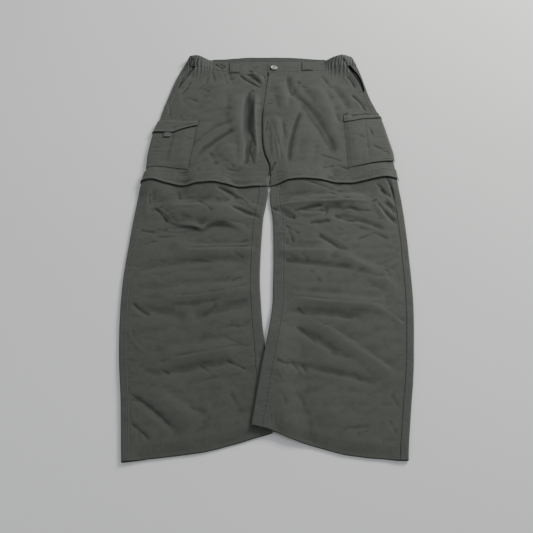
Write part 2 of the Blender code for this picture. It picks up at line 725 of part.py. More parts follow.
def build_button():
    """Shanked metal button at the end of the waistband."""
    x, y = 18 * MM, 477 * MM
    seat = float(cloth_height(1, np.array([x]), np.array([y]))[0]) + 0.3 * MM + 0.5 * MM
    disc = bmesh.new()
    bmesh.ops.create_cone(disc, cap_ends=True, segments=32, radius1=BUTTON_DIAMETER / 2,
                          radius2=BUTTON_DIAMETER / 2, depth=BUTTON_HEIGHT)
    rim = [e for e in disc.edges if all(v.co.z > 0 for v in e.verts)]
    bmesh.ops.bevel(disc, geom=rim, offset=0.7 * MM, segments=2, affect="EDGES", profile=0.5)
    mesh = bpy.data.meshes.new("waist_button")
    disc.to_mesh(mesh)
    disc.free()
    mesh.materials.append(material(METAL, 0.35, 1.0))
    mesh.shade_smooth()
    button = bpy.data.objects.new("waist_button", mesh)
    button.location = (x - PLAN_CENTRE[0], y - PLAN_CENTRE[1], seat + BUTTON_HEIGHT / 2)
    collection.objects.link(button)


class Pocket(NamedTuple):
    """A cargo pocket's inner edge, foot and mouth (mm)."""

    inner_top: float
    inner_foot: float
    mouth: float
    foot: tuple
    flap_top: tuple
    flap_foot: tuple
    flap_inner: float


POCKETS = {
    -1: Pocket(-152, -166, 285, (Across(-262, 143), Across(-225, 147), Across(-166, 142)),
               (Across(-250, 290), Across(-207, 293), Across(-178, 298), Across(-150, 306)),
               (Across(-250, 252), Across(-206, 251), Across(-189, 260), Across(-172, 268),
                Across(-150, 277)), -151),
    1: Pocket(172, 173, 304, (Across(170, 146), Across(201, 153), Across(223, 159), Across(275, 165)),
              (Across(168, 319), Across(222, 320), Across(262, 318)),
              (Across(168, 289), Across(189, 291), Across(207, 296), Across(262, 303)), 171.5),
}


def build_pocket(side):
    """Cargo pocket and its flap, both turning round the outer edge."""
    name = side_name(side)
    pocket = POCKETS[side]

    def inner_at(y):
        share = (pocket.mouth * MM - y) / ((pocket.mouth - 145) * MM)
        return (pocket.inner_top + (pocket.inner_foot - pocket.inner_top) * share) * MM

    def bag(x, y):
        along = np.clip((y - 146 * MM) / ((pocket.mouth - 146) * MM), 0.0, 1.0)
        across = np.clip(np.abs(x - inner_at(y)) / (90 * MM), 0.0, 1.0)
        return POCKET_LAYER + POCKET_FULLNESS * smooth(along / 0.3) * smooth((1 - along) / 0.3) * \
            smooth(across / 0.25)

    columns, place = layer(side, None, lambda x: line_at(pocket.foot, x), level(pocket.mouth * MM), bag,
                           shares(7), inner_at=inner_at)
    make_piece(f"cargo_pocket_{name}", columns, shares(9), place, CLOTH, NYLON)

    def lid(x, y):
        seam = smooth((y - (pocket.mouth + 1) * MM) / (6 * MM))
        return bag(x, y) + FLAP_LAYER - 1.3 * MM * seam

    columns, place = layer(side, None, lambda x: line_at(pocket.flap_foot, x),
                           lambda x: line_at(pocket.flap_top, x), lid, shares(7),
                           inner_at=lambda y: np.full_like(y, pocket.flap_inner * MM))
    make_piece(f"cargo_flap_{name}", columns, shares(4), place, CLOTH, NYLON)


def build_tab():
    """Webbing pull tab that hangs from under the left pocket's flap."""
    def webbing(u, v):
        x = (-223 + 15 * u) * MM
        y = (236 + 14.8 * v) * MM
        return x, y, cloth_height(-1, x, y) + POCKET_LAYER + POCKET_FULLNESS + 0.5 * MM + 1.2 * MM

    make_piece("flap_tab_left", shares(2), shares(2), webbing, 1.2 * MM, TAPE)


for leftover in list(bpy.data.objects):
    bpy.data.objects.remove(leftover, do_unlink=True)
collection = bpy.data.collections.new("convertible_trousers")
bpy.context.scene.collection.children.link(collection)

for trouser_side in (-1, 1):
    build_hip(trouser_side)
    build_zip(trouser_side)
    build_leg(trouser_side)
    build_pocket(trouser_side)
build_tab()
build_waist()
build_button()
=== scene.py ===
"""Dressed scene of the convertible zip-off trousers, laid flat on their back with the front up.

The waist is at +Y, the hems at -Y and the front faces +Z. LEFT and RIGHT are the sides at -X and +X.
Plan tables are in millimetres, everything else in metres.
"""

import logging
import math
from dataclasses import dataclass, field
from enum import Enum, IntEnum
from functools import partial
from typing import Callable, NamedTuple, Optional, Sequence

import bmesh
import bpy
import numpy as np
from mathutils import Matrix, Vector

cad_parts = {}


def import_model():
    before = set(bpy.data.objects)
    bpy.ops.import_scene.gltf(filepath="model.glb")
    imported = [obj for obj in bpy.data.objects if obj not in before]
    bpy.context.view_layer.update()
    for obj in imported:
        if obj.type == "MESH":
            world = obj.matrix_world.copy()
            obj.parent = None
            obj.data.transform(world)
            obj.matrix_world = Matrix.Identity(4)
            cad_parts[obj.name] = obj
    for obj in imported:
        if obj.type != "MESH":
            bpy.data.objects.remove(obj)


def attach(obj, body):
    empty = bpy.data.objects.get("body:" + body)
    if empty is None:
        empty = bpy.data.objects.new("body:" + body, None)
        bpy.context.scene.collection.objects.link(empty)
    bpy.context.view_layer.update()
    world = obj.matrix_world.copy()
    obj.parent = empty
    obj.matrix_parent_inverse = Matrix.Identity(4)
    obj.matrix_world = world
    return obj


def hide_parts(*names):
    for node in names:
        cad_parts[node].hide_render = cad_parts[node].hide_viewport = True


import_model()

LOG = logging.getLogger("trousers")
MM = 0.001

Array = np.ndarray
Line = Callable[[Array], Array]
Place = tuple[Array, Array, Array]
Triple = tuple[float, float, float]
Surface = Callable[[Array, Array], Array]

# Cloth and clearances
CLOTH = 1.0 * MM
BAND_CLOTH = 1.6 * MM
SLIT = 0.45 * MM            # what is left open between two pieces sewn end to end
CENTRE_GAP = 0.35 * MM
LAY_GAP = 0.9 * MM
REST_HEIGHT = 5.0 * MM
LEAST_HEIGHT = 2.9 * MM
LEAST_FINE = 2.5 * MM
OUTER_STRIP = 14.0 * MM
INNER_STRIP = 19.0 * MM
THIGH_ROLL = 4.0 * MM
WAIST_BACK_TOP = 521.0 * MM
WAIST_BACK_FOOT = 483.6 * MM
BAND_END = {-1: -126.0 * MM, 1: 139.0 * MM}
ZIP_TAPE = 15.0 * MM
STORM_BAND = 27.0 * MM
STORM_LIP = 1.3 * MM
BAND_MEETS = 2.4 * MM
HEM_DROP = 0.3 * MM
TAPE_RISE = 3.0 * MM          # the zip's tape begins this far above the storm band's lower edge
CREASE_GAIN = 1.6             # how much deeper the creases are than their table says
LEG_LIFT = 5.6 * MM
SIDE_FOOT = 1.8 * MM
SLANT_FOOT = 402.0 * MM
POCKET_LAYER = 1.8 * MM
POCKET_FULLNESS = 2.2 * MM
FLAP_LAYER = 1.7 * MM
FLAP_LIP = 1.2 * MM
PLAN_CENTRE = (2.521 * MM, -3.755 * MM)


class Side(Enum):
    """The two sides of the trousers as they lie."""

    LEFT = -1
    RIGHT = 1


class Held(Enum):
    LAID = "laid"
    GATHERED = "gathered"


class Slot(Enum):
    """Material slots of the record."""

    NYLON = "nylon_cloth"
    WAIST = "gathered_waist"
    TAPE = "zip_tape"
    METAL = "button_metal"


class Part(IntEnum):
    """Stretches of a section across a piece."""

    UNDER = 0
    INNER_ROLL = 1
    OUTER_ROLL = 2
    INNER_TOP = 3
    OUTER_TOP = 4
    FLAT = 5
    SIDE = 6
    THIGH = 7


def rows_of(kind: type, rows: Sequence[tuple]) -> tuple:
    """Make the rows of a table, each of the same kind."""
    return tuple(kind(*row) for row in rows)


def both_sides(kind: type, left: Sequence[tuple], right: Sequence[tuple]) -> dict[int, tuple]:
    """Make a table that has rows for the left side and for the right one."""
    return {Side.LEFT.value: rows_of(kind, left), Side.RIGHT.value: rows_of(kind, right)}


class Section(NamedTuple):
    """Edges of both trouser sides on one line across the plan (mm)."""

    y: float
    left_outer: float
    left_inner: float
    right_inner: float
    right_outer: float


SECTIONS = rows_of(Section, (
    (530, -177, 4, 4, 198), (500, -187, 4, 4, 208), (459, -203, 5, 5, 219), (412, -215, 0, 0, 227),
    (373, -223, -3, -3, 234), (333, -231, -7, -7, 245), (297, -237, -10, -10, 254),
    (259, -243, -10, -10, 258), (224, -247, -9, -9, 263), (188, -250, -4, -4, 268), (168, -251, 2, 2, 269),
    (150, -252, 6, 6, 270), (112, -257, 6, 6, 272), (86, -261, 5, 6.5, 273), (50, -263, 1, 7, 275),
    (0, -266, -6, 12, 276), (-50, -268, -9, 13, 276), (-100, -270, -11, 13, 275),
    (-150, -271, -12, 12, 274), (-200, -270, -10, 11, 272), (-250, -267, -7, 6, 268),
    (-297, -263, -3, -1, 263), (-342, -258, 0, -9, 258), (-383, -252, 3, -15, 252),
    (-412, -248, 5, -19, 247), (-455, -243, 9, -25, 240), (-500, -238, 13, -30, 233),
    (-535, -234, 15, -34, 229),
))


class Across(NamedTuple):
    """A point of a line across or down one side of the trousers (mm)."""

    x: float
    y: float


HEM = both_sides(Across, (
    (-236, -526), (-190, -520), (-137, -513), (-89, -504), (-28, -485), (16, -470),
), (
    (-36, -460), (-2, -467), (38, -484), (91, -501), (136, -513), (192, -520), (230, -523),
))
WAIST_FOOT = both_sides(Across, (
    (-200, 483.6), (-184, 482), (-160, 475), (-126, 471), (-94, 463), (-64, 458), (-38, 451), (5, 446),
), (
    (-5, 461), (78, 467), (139, 468), (172, 474), (200, 482), (215, 483.6),
))
WAIST_TOP = both_sides(Across, (
    (-200, 509), (-165, 510), (-126, 502), (-56, 499), (5, 499),
), (
    (-5, 499), (80, 500), (139, 503), (178, 512), (215, 511),
))
SLANT = both_sides(Across, (
    (-208, 392), (-198, 409), (-178, 452), (-159, 486), (-152, 500),
), (
    (222, 386), (213, 416), (201, 449), (188, 478), (177, 500),
))


class ZipPoint(NamedTuple):
    """Lower edge of the storm band: its place in the plan and the height of the cloth (mm)."""

    x: float
    y: float
    z: float


ZIP_LINE = both_sides(ZipPoint, (
    (-265, 101, 8.0), (-240, 105, 12.5), (-210, 99, 8.0), (-172, 93, 3.3), (-142, 98, 8.5),
    (-112, 99, 10.0), (-88, 96, 7.0), (-55, 89, 3.3), (-25, 91, 5.0), (8, 93, 5.0),
), (
    (4, 92, 3.6), (22, 97, 5.0), (48, 106, 10.5), (74, 108, 11.0), (110, 107, 8.5), (150, 101, 3.6),
    (174, 101, 3.4), (198, 105, 5.5), (224, 110, 9.5), (248, 113, 11.5), (276, 110, 6.5),
))


class Fold(NamedTuple):
    """A broad ridge or trough from one point to another, bowed sideways in its middle (mm)."""

    x0: float
    y0: float
    x1: float
    y1: float
    bow: float
    width: float
    height: float


FOLDS = both_sides(Fold, (
    (-32, 402, -31, 195, -12, 17, -2.3), (-38, 352, -37, 232, -3, 8, -1.2),
    (-47, 224, -35, 144, 2, 9, -2.0), (-21, 395, -18, 165, -3, 13, 3.2), (-62, 392, -60, 240, -6, 22, 2.6),
    (-56, 275, -155, 172, -9, 11, -1.7), (-66, 288, -160, 192, -9, 14, 1.8),
    (-110, 440, -112, 320, 8, 45, 2.2), (-84, 226, -70, 140, 0, 30, 2.2), (-52, 456, -10, 408, 5, 9, -2.2),
    (-40, 462, -6, 424, 5, 10, 3.0), (-157, 484, -204, 400, 0, 20, 1.0), (-92, 480, -78, 425, 0, 10, -1.0),
    (-216, 30, -36, 22, 4, 32, 5.0), (-224, 34, -176, -13, 4, 10, -3.0),
    (-206, -27, -133, -18, -5, 11, -3.0), (-135, -20, -86, 2, 3, 10, -2.8), (-92, 3, -36, -22, 3, 10, -2.8),
    (-108, 92, -52, 50, 4, 9, -2.0), (-80, 38, -8, 0, 2, 9, -2.0), (-245, 88, -240, 0, 0, 16, 2.0),
    (-190, -84, -8, -85, 0, 30, 3.4), (-264, -122, -10, -97, 5, 20, -2.0),
    (-218, -194, -10, -172, 3, 30, 3.4), (-247, -212, -135, -240, 0, 20, -2.0),
    (-145, -240, -18, -200, 0, 19, -2.0), (-250, -204, -212, -237, 0, 8, -1.4),
    (-195, -322, -30, -300, 0, 30, 3.0), (-224, -358, -44, -327, -6, 16, -2.0),
    (-74, -331, -30, -352, 0, 7, -1.4), (-238, -396, -136, -484, 3, 14, -2.0),
    (-205, -390, -105, -470, 3, 26, 2.6), (-229, -455, -188, -490, 0, 10, -1.4),
), (
    (50, 456, 84, 353, -9, 13, -2.3), (66, 380, 150, 176, 7, 14, -2.3), (79, 334, 48, 146, -7, 10, -1.9),
    (150, 420, 188, 326, 3, 15, -1.6), (192, 384, 224, 336, 0, 8, -1.4), (28, 430, 44, 330, 2, 18, 2.2),
    (104, 430, 150, 250, 8, 26, 2.6), (90, 260, 88, 150, 4, 18, 2.6), (22, 320, 26, 170, 0, 16, 2.0),
    (178, 498, 221, 392, 0, 26, 1.8), (2, 455, -6, 345, 3, 9, 1.4), (20, 42, 218, 56, 5, 26, 4.4),
    (10, 33, 60, 2, 3, 10, -2.6), (66, 26, 122, 25, -2, 9, -1.8), (94, -11, 130, -2, 0, 8, -1.6),
    (132, 16, 238, -28, 4, 11, -2.2), (94, -38, 164, -86, 2, 9, -1.8), (14, -84, 138, -85, 0, 26, 3.4),
    (128, -84, 250, -180, 8, 26, 3.4), (14, -105, 180, -125, 3, 14, -2.0),
    (168, -123, 228, -150, 2, 13, -1.8), (32, -193, 232, -216, 2, 26, 3.4),
    (32, -223, 192, -243, 2, 15, -2.0), (72, -244, 232, -385, 6, 23, 3.4),
    (50, -258, 132, -324, 3, 14, -2.0), (14, -335, 198, -380, 4, 13, -2.0), (231, 84, 259, 58, 0, 7, -1.6),
    (238, 50, 261, 10, 3, 8, -1.8), (236, 22, 261, -14, 2, 7, -1.4), (60, -400, 150, -470, 0, 40, 1.8),
))


class Crease(NamedTuple):
    """A sharp crease, steeper on one hand than on the other; near is the hand right of its run (mm)."""

    x0: float
    y0: float
    x1: float
    y1: float
    bow: float
    near: float
    far: float
    height: float


CREASES = both_sides(Crease, (
    # beside the fly and down the thigh
    (-29, 399, -42, 384, 0, 6, 6, -0.9), (-38, 396, -34, 236, -2, 15, 4, -2.4),
    (-27, 398, -25, 236, -2, 3, 7, 1.0), (-35, 240, -46, 148, 3, 12, 5, -1.6),
    (-36, 263, -23, 200, 2, 4, 4, -0.9), (-44, 222, -26, 146, 3, 4, 5, -1.1),
    (-46, 213, -41, 155, 0, 4, 4, -0.8), (-25, 388, -19, 160, -2, 8, 5, 0.9),
    # band, hand pocket and hip
    (-66, 457, -9, 405, -4, 5, 3, -1.5), (-58, 458, -8, 411, -2, 3, 8, 0.8),
    (-46, 470, -14, 440, 2, 3, 5, -1.1), (-124, 494, -99, 471, 0, 3, 5, -1.3),
    (-112, 494, -95, 477, 0, 3, 5, -1.2), (-127, 467, -116, 420, 0, 3, 4, -0.7),
    (-136, 449, -137, 415, 0, 4, 4, -0.4), (-98, 466, -90, 408, 0, 5, 6, -0.4),
    (-174, 431, -197, 377, 3, 4, 6, -0.9), (-219, 374, -209, 296, -4, 3, 5, -0.7),
    (-212, 371, -212, 340, 0, 3, 3, -0.5), (-150, 402, -128, 388, 2, 6, 8, -0.4),
    (-184, 372, -150, 352, 3, 7, 9, -0.5),
    # thigh above the zip
    (-58, 272, -154, 166, -9, 9, 6, -0.45), (-144, 150, -143, 120, 0, 4, 4, -0.5),
    (-88, 172, -66, 144, 0, 4, 5, -0.6), (-189, 131, -158, 138, -2, 4, 4, -0.6),
    (-87, 141, -50, 134, 1, 4, 4, -0.5), (-122, 196, -104, 150, 2, 9, 7, -0.5),
    # knee and the puff below it
    (-182, 81, -174, 50, 0, 5, 5, -0.6), (-106, 90, -48, 48, 5, 4, 6, -1.1),
    (-56, 64, -36, 41, 0, 3, 3, -0.9), (-141, 56, -104, 17, 0, 7, 5, -0.7), (-74, 33, -9, 1, 3, 4, 6, -1.1),
    (-104, 60, -94, 52, 0, 4, 4, -0.5), (-229, 33, -196, -8, 3, 5, 6, -1),
    (-240, 72, -236, 34, 0, 4, 4, -0.6), (-196, 32, -120, 36, 2, 9, 6, 0.7),
    (-215, 6, -150, 22, 4, 8, 8, 0.5),
    # calf
    (-252, -29, -216, -37, 2, 5, 5, -0.6), (-239, -68, -210, -56, 2, 5, 5, -0.5),
    (-220, -49, -178, -46, 2, 5, 5, -0.5), (-172, -80, -10, -76, 0, 18, 4, 0.8),
    (-168, -75, -12, -70, 0, 3, 4, -0.4), (-54, -60, -35, -51, 0, 4, 4, -0.4),
    (-152, -104, -96, -116, 3, 4, 6, -0.5), (-200, -197, -20, -166, -8, 18, 4, 0.8),
    (-190, -189, -26, -160, -7, 3, 4, -0.4), (-72, -191, -40, -180, 0, 5, 4, 0.6),
    (-250, -204, -207, -240, -3, 4, 5, -1), (-120, -236, -92, -204, -4, 9, 5, -0.7),
    (-250, -266, -208, -318, -7, 5, 6, 0.6), (-90, -258, -34, -262, 2, 6, 8, -0.5),
    (-184, -332, -32, -301, -3, 18, 4, 0.8), (-176, -324, -40, -296, -3, 3, 4, -0.35),
    (-178, -352, -166, -363, 0, 4, 4, -0.8), (-184, -350, -172, -364, 2, 3, 4, -0.5),
    (-117, -341, -97, -358, 0, 4, 4, -0.9), (-72, -331, -32, -352, -1, 4, 5, -0.9),
    (-240, -380, -226, -400, 0, 4, 4, 0.5), (-238, -396, -152, -470, 4, 4, 6, -1),
    (-228, -432, -218, -456, 0, 4, 4, 0.5), (-229, -454, -190, -490, 2, 4, 5, -0.7),
    (-214, -470, -204, -498, 0, 4, 5, -0.4), (-66, -392, -40, -440, 2, 9, 7, -0.4),
), (
    # beside the fly and down the thigh
    (50, 443, 57, 378, 0, 10, 9, -0.6), (78, 436, 51, 369, 3, 9, 10, -0.6),
    (96, 404, 76, 414, 0, 5, 5, -0.5), (68, 384, 150, 190, 9, 5, 18, -1.5),
    (79, 332, 46, 168, -6, 6, 7, -1), (8, 305, 35, 153, 3, 3, 4, -0.7), (14, 250, 24, 168, 0, 3, 4, -0.6),
    (2, 298, -2, 247, 0, 3, 3, -0.6), (20, 166, 7, 130, 0, 5, 3, -1.4), (38, 300, 46, 220, -2, 6, 6, -0.5),
    # hip and pocket
    (124, 454, 150, 396, 2, 8, 10, -0.6), (190, 386, 223, 322, 3, 5, 4, -1.1),
    (184, 450, 202, 398, 3, 4, 5, -0.9), (196, 372, 208, 340, 2, 4, 5, 0.6),
    (110, 187, 162, 163, 2, 5, 5, -0.7), (116, 145, 146, 153, 0, 5, 5, -0.6),
    (144, 157, 177, 139, 0, 4, 5, -0.9), (223, 272, 233, 236, 0, 5, 5, -0.6),
    (222, 214, 264, 181, 2, 6, 6, -0.6), (184, 250, 216, 232, 2, 7, 8, -0.4),
    (150, 330, 162, 280, 2, 9, 9, -0.4),
    # knee
    (69, 105, 143, 78, 4, 5, 6, -0.8), (126, 74, 172, 55, 0, 5, 5, -0.7), (9, 37, 219, 50, 3, 5, 4, 0.9),
    (9, 46, 215, 58, 3, 3, 3, -0.6), (9, 33, 34, 16, 0, 5, 6, -1.3), (34, 13, 60, 0, 0, 3, 5, -1.1),
    (57, 22, 118, 38, 2, 4, 8, -1.2), (119, 36, 115, 7, 4, 4, 5, -0.9), (82, -13, 128, -2, 3, 5, 8, -1.1),
    (132, 13, 180, -8, -3, 6, 9, -1.1), (101, -32, 153, -84, -4, 4, 5, -1.1),
    (172, -58, 216, -35, 2, 5, 5, -0.5), (34, -14, 67, -40, 0, 5, 6, -0.6),
    (42, -22, 55, -64, 0, 6, 5, -0.6), (247, 118, 259, 48, 4, 5, 3, -1.5),
    (224, 104, 257, 48, 0, 5, 5, -0.8), (222, 55, 258, -6, -3, 6, 5, -1.1),
    (236, 28, 257, -14, -2, 5, 5, -0.9), (214, 50, 227, 54, 0, 4, 4, -1), (158, 32, 213, 22, 0, 7, 8, -0.7),
    (176, -14, 243, -56, 3, 8, 8, -0.6), (156, 22, 176, 26, 0, 6, 6, 0.6),
    # calf
    (64, -84, 80, -112, 2, 5, 4, -0.7), (40, -90, 60, -104, 0, 5, 5, -0.5),
    (80, -124, 104, -162, 2, 7, 5, -0.5), (228, -120, 244, -142, 0, 5, 5, 0.6),
    (34, -192, 240, -215, -4, 18, 4, 0.8), (34, -186, 232, -208, -4, 3, 3, -0.4),
    (12, -80, 140, -80, 0, 16, 4, 0.8), (130, -82, 250, -178, 8, 20, 8, 0.5),
    (55, -216, 70, -236, 0, 4, 4, -1.1), (196, -216, 250, -262, 6, 8, 6, 0.7),
    (240, -238, 256, -256, 0, 5, 5, -0.5), (12, -112, 30, -116, 0, 4, 5, -0.4),
    (12, -160, 30, -164, 0, 4, 5, -0.3), (8, -236, 28, -246, 0, 4, 5, -0.4),
    (76, -246, 232, -376, 8, 22, 8, 0.4), (84, -240, 238, -366, 8, 3, 5, -0.2),
    (52, -258, 90, -300, 3, 9, 5, -0.7), (60, -340, 72, -360, 0, 4, 4, -1),
    (42, -336, 60, -368, 2, 5, 6, -0.7), (14, -333, 40, -343, 0, 4, 5, -1.1),
    (18, -350, 34, -378, 0, 5, 5, 0.6), (20, -392, 34, -430, 3, 8, 8, -0.5),
    (44, -384, 72, -452, 3, 9, 9, -0.4), (212, -400, 224, -424, 0, 5, 5, -0.5),
    (204, -448, 216, -480, 0, 5, 5, -0.5), (120, -470, 176, -462, 2, 7, 8, -0.5),
))

# Finer swells over the solids' folds
SWELLS = both_sides(Fold, (
    (-224, 34, -176, -13, 4, 10, 2.3), (-206, 8, -44, 10, 2, 25, 1.6), (-206, -27, -133, -18, -5, 11, 2.2),
    (-135, -20, -86, 2, 3, 10, 2.1), (-92, 3, -36, -22, 3, 10, 2.1), (-20, 396, -16, 170, -2, 9, 0.8),
    (-56, 275, -155, 172, -9, 11, 0.9), (-52, 250, -54, 158, 2, 11, 0.9),
    (-206, 420, -190, 330, 0, 12, 0.8), (-96, 120, -60, 70, 3, 12, 1.0), (-66, 62, -14, 22, 3, 10, 1.2),
), (
    (12, 300, 16, 170, 0, 7, 0.9), (58, 16, 116, 20, 3, 12, 1.4), (224, 60, 240, 0, -4, 8, 1.2),
    (244, 84, 262, 30, -4, 6, 1.2), (86, 352, 140, 212, 6, 12, 1.2), (140, 40, 214, 30, 3, 14, 1.0),
    (90, 260, 88, 150, 4, 18, -1.9), (72, -244, 232, -385, 6, 23, -1.0), (128, -84, 250, -180, 8, 26, -0.8),
    (66, 380, 150, 176, -2, 22, -0.8),
))

# Channels where the cloth of the underside stands off what it lies on
BACK_FOLDS = both_sides(Fold, (
    (-30, 430, -64, 300, 8, 16, 1.3), (-20, 330, -96, 214, -6, 13, 1.5), (-150, 400, -204, 330, 5, 15, 1.0),
    (-60, 250, -190, 190, 5, 12, 1.1), (-230, 60, -60, 44, 6, 12, 1.6), (-200, 20, -30, 2, -5, 11, 1.4),
    (-240, -40, -120, -70, 4, 14, 1.0), (-226, -130, -40, -118, 6, 15, 1.2),
    (-236, -232, -60, -206, -6, 14, 1.3), (-210, -330, -50, -346, 7, 16, 1.1),
    (-220, -420, -130, -480, 3, 13, 1.0),
), (
    (34, 426, 72, 318, -7, 15, 1.4), (20, 312, 110, 226, 6, 13, 1.3), (160, 420, 214, 352, -4, 16, 1.0),
    (90, 262, 206, 186, 6, 13, 1.2), (30, 52, 232, 40, -6, 12, 1.5), (40, 10, 200, -22, 6, 12, 1.3),
    (110, -60, 248, -96, 4, 14, 1.1), (40, -140, 220, -128, -5, 15, 1.1), (40, -236, 240, -216, 6, 14, 1.3),
    (30, -318, 210, -352, -6, 15, 1.2), (90, -470, 200, -440, 3, 14, 0.9),
))


class Dome(NamedTuple):
    """A broad rise of the cloth round one point (mm)."""

    x: float
    y: float
    reach_x: float
    reach_y: float
    height: float


DOMES = rows_of(Dome, (
    (-164, 500, 46, 62, 9.0), (178, 503, 48, 62, 9.0),
))


# Deep creases that stay in their own shade, from 0 to 1
SHADOWS = both_sides(Crease, (
    (-36, 402, -32, 232, -2, 16, 4, 0.45), (-39, 388, -37, 236, -2, 10, 8, 0.6),
    (-35, 246, -46, 150, 3, 10, 5, 0.42), (-66, 458, -8, 404, -4, 3.4, 2.2, 0.95),
    (-48, 470, -14, 442, 2, 3, 5, 0.4), (-30, 226, -26, 165, 1, 3, 4, 0.35),
    (-218, 26, -192, -6, 3, 2, 2, 0.3), (-58, 64, -36, 40, 0, 3, 4, 0.5),
    (-106, 92, -50, 50, 4, 4, 7, 0.35), (-74, 33, -12, 2, 3, 4, 6, 0.35),
), (
    (66, 386, 150, 184, 8, 6, 18, 0.36), (80, 338, 44, 156, -6, 12, 7, 0.38),
    (20, 168, 6, 130, 0, 5, 3, 0.55), (248, 118, 260, 46, 4, 4, 3, 0.7), (212, 50, 228, 54, 0, 4, 4, 0.6),
    (9, 34, 60, 0, -3, 4, 6, 0.4), (57, 22, 118, 38, 2, 4, 8, 0.3), (101, -32, 153, -84, -4, 4, 4, 0.35),
    (224, 54, 258, -8, -3, 5, 4, 0.3),
))

# Fold of the hand pocket's edge that runs up over the gathered waist
SLASH = both_sides(Crease, (
    (-172, 503, -184, 474, 0, 4, 2.5, -0.7), (-160, 500, -166, 476, 0, 3, 3, -0.5),
), (
    (177, 504, 197, 464, 0, 3, 6, -1.1), (183, 507, 204, 474, 0, 3, 3, -0.4),
))

FLAP_CREASES = both_sides(Crease, (
    (-214, 262, -160, 281, 2, 5, 5, -0.35), (-240, 283, -206, 279, 2, 5, 4, -0.3),
), (
    (181, 303, 234, 313, 3, 3, 6, -0.95), (180, 318, 224, 319, 1, 3, 4, -0.6),
    (206, 298, 252, 305, 2, 5, 3, -0.4),
))

# Cockles all over the cloth: height (mm), slant, sizes across and along (m), seed
COCKLES = ((0.55, 0.3, 0.060, 0.031, 3), (0.34, -0.4, 0.022, 0.014, 7), (0.12, 0.0, 0.008, 0.006, 11))

# Lower lip of the puff of cloth below the left knee, and how strong it is at places across it (m)
PUFF_STRONG = ((-0.224, -0.190, -0.165, -0.142, -0.118, -0.090, -0.062, -0.038),
               (0.0, 0.3, 0.6, 1.0, 0.6, 1.0, 0.5, 0.0))
PUFF_LIP = rows_of(Across, (
    (-221, 29), (-203, 10), (-188, -4), (-165, -14), (-142, -20), (-129.5, -25), (-116, -12), (-103, -5),
    (-81, -5), (-62.5, -14), (-44.5, -22),
))


class Pocket(NamedTuple):
    """A cargo pocket's inner edge, foot and mouth (mm)."""

    inner_top: float
    inner_foot: float
    mouth: float
    foot: tuple
    flap_top: tuple
    flap_foot: tuple
    flap_inner: float


POCKETS = {
    -1: Pocket(-152, -166, 285,
               rows_of(Across, ((-262, 143), (-225, 147), (-166, 142))),
               rows_of(Across, ((-250, 290), (-207, 293), (-178, 298), (-150, 306))),
               rows_of(Across, ((-250, 252), (-206, 251), (-189, 260), (-172, 268), (-150, 277))), -151),
    1: Pocket(172, 173, 304,
              rows_of(Across, ((170, 146), (201, 153), (223, 159), (275, 165))),
              rows_of(Across, ((168, 319), (222, 320), (262, 318))),
              rows_of(Across, ((168, 289), (189, 291), (207, 296), (262, 303))), 171.5),
}


class Cut(NamedTuple):
    """Flat size of a piece as it is cut (m, m, m2)."""

    width: float
    length: float
    area: float


def smooth(value: Array) -> Array:
    """Ease from 0 to 1 for values from 0 to 1, flat outside."""
    value = np.clip(value, 0.0, 1.0)
    return value * value * (3.0 - 2.0 * value)


def after(value: Array, start: float, reach: float) -> Array:
    """Ease from 0 to 1 over a reach beyond a start, both in millimetres."""
    return smooth((value - start * MM) / (reach * MM))


def before(value: Array, end: float, reach: float) -> Array:
    """Ease from 1 to 0 over a reach short of an end, both in millimetres."""
    return smooth((end * MM - value) / (reach * MM))


def fading(away: Array, reach: float, full: float = 1.0) -> Array:
    """Ease down with the distance, to 0 at a reach in millimetres."""
    return smooth(full - away / (reach * MM))


def curve(at: Array, knots: Sequence[float], values: Sequence[float]) -> Array:
    """Read a smooth curve through rising knots that never swings past its values.

    Args:
        at: Where the curve is read.
        knots: Rising positions of the known values.
        values: The known values.

    Returns:
        The values at the given places, held at the ends.
    """
    knots = np.asarray(knots, dtype=float)
    values = np.asarray(values, dtype=float)
    steps = np.diff(values) / np.diff(knots)
    before, after = steps[:-1], steps[1:]
    both = before + after
    mean = np.where(before * after > 0, 2 * before * after / np.where(both == 0, 1.0, both), 0.0)
    slopes = np.concatenate([steps[:1], mean, steps[-1:]])
    at = np.clip(at, knots[0], knots[-1])
    i = np.clip(np.searchsorted(knots, at, side="right") - 1, 0, len(knots) - 2)
    span = knots[i + 1] - knots[i]
    t = (at - knots[i]) / span
    rise = values[i + 1] - values[i]
    a = slopes[i] * span - rise
    b = rise - slopes[i + 1] * span
    return (1 - t) * values[i] + t * values[i + 1] + t * (1 - t) * (a * (1 - t) + b * t)


def column(rows: Sequence[NamedTuple], name: str) -> list[float]:
    """Return one named column of a table, in metres."""
    return [getattr(row, name) * MM for row in rows]


def read(line: Line, place: float) -> float:
    """Read a line at one place."""
    return float(line(np.array([place]))[0])


def run_along(points: Array, axis: int = 0) -> Array:
    """Length of the way from the first point, along one axis of a grid of points."""
    steps = np.linalg.norm(np.diff(points, axis=axis), axis=-1)
    start = np.zeros_like(np.take(steps, [0], axis=axis))
    return np.concatenate([start, np.cumsum(steps, axis=axis)], axis=axis)


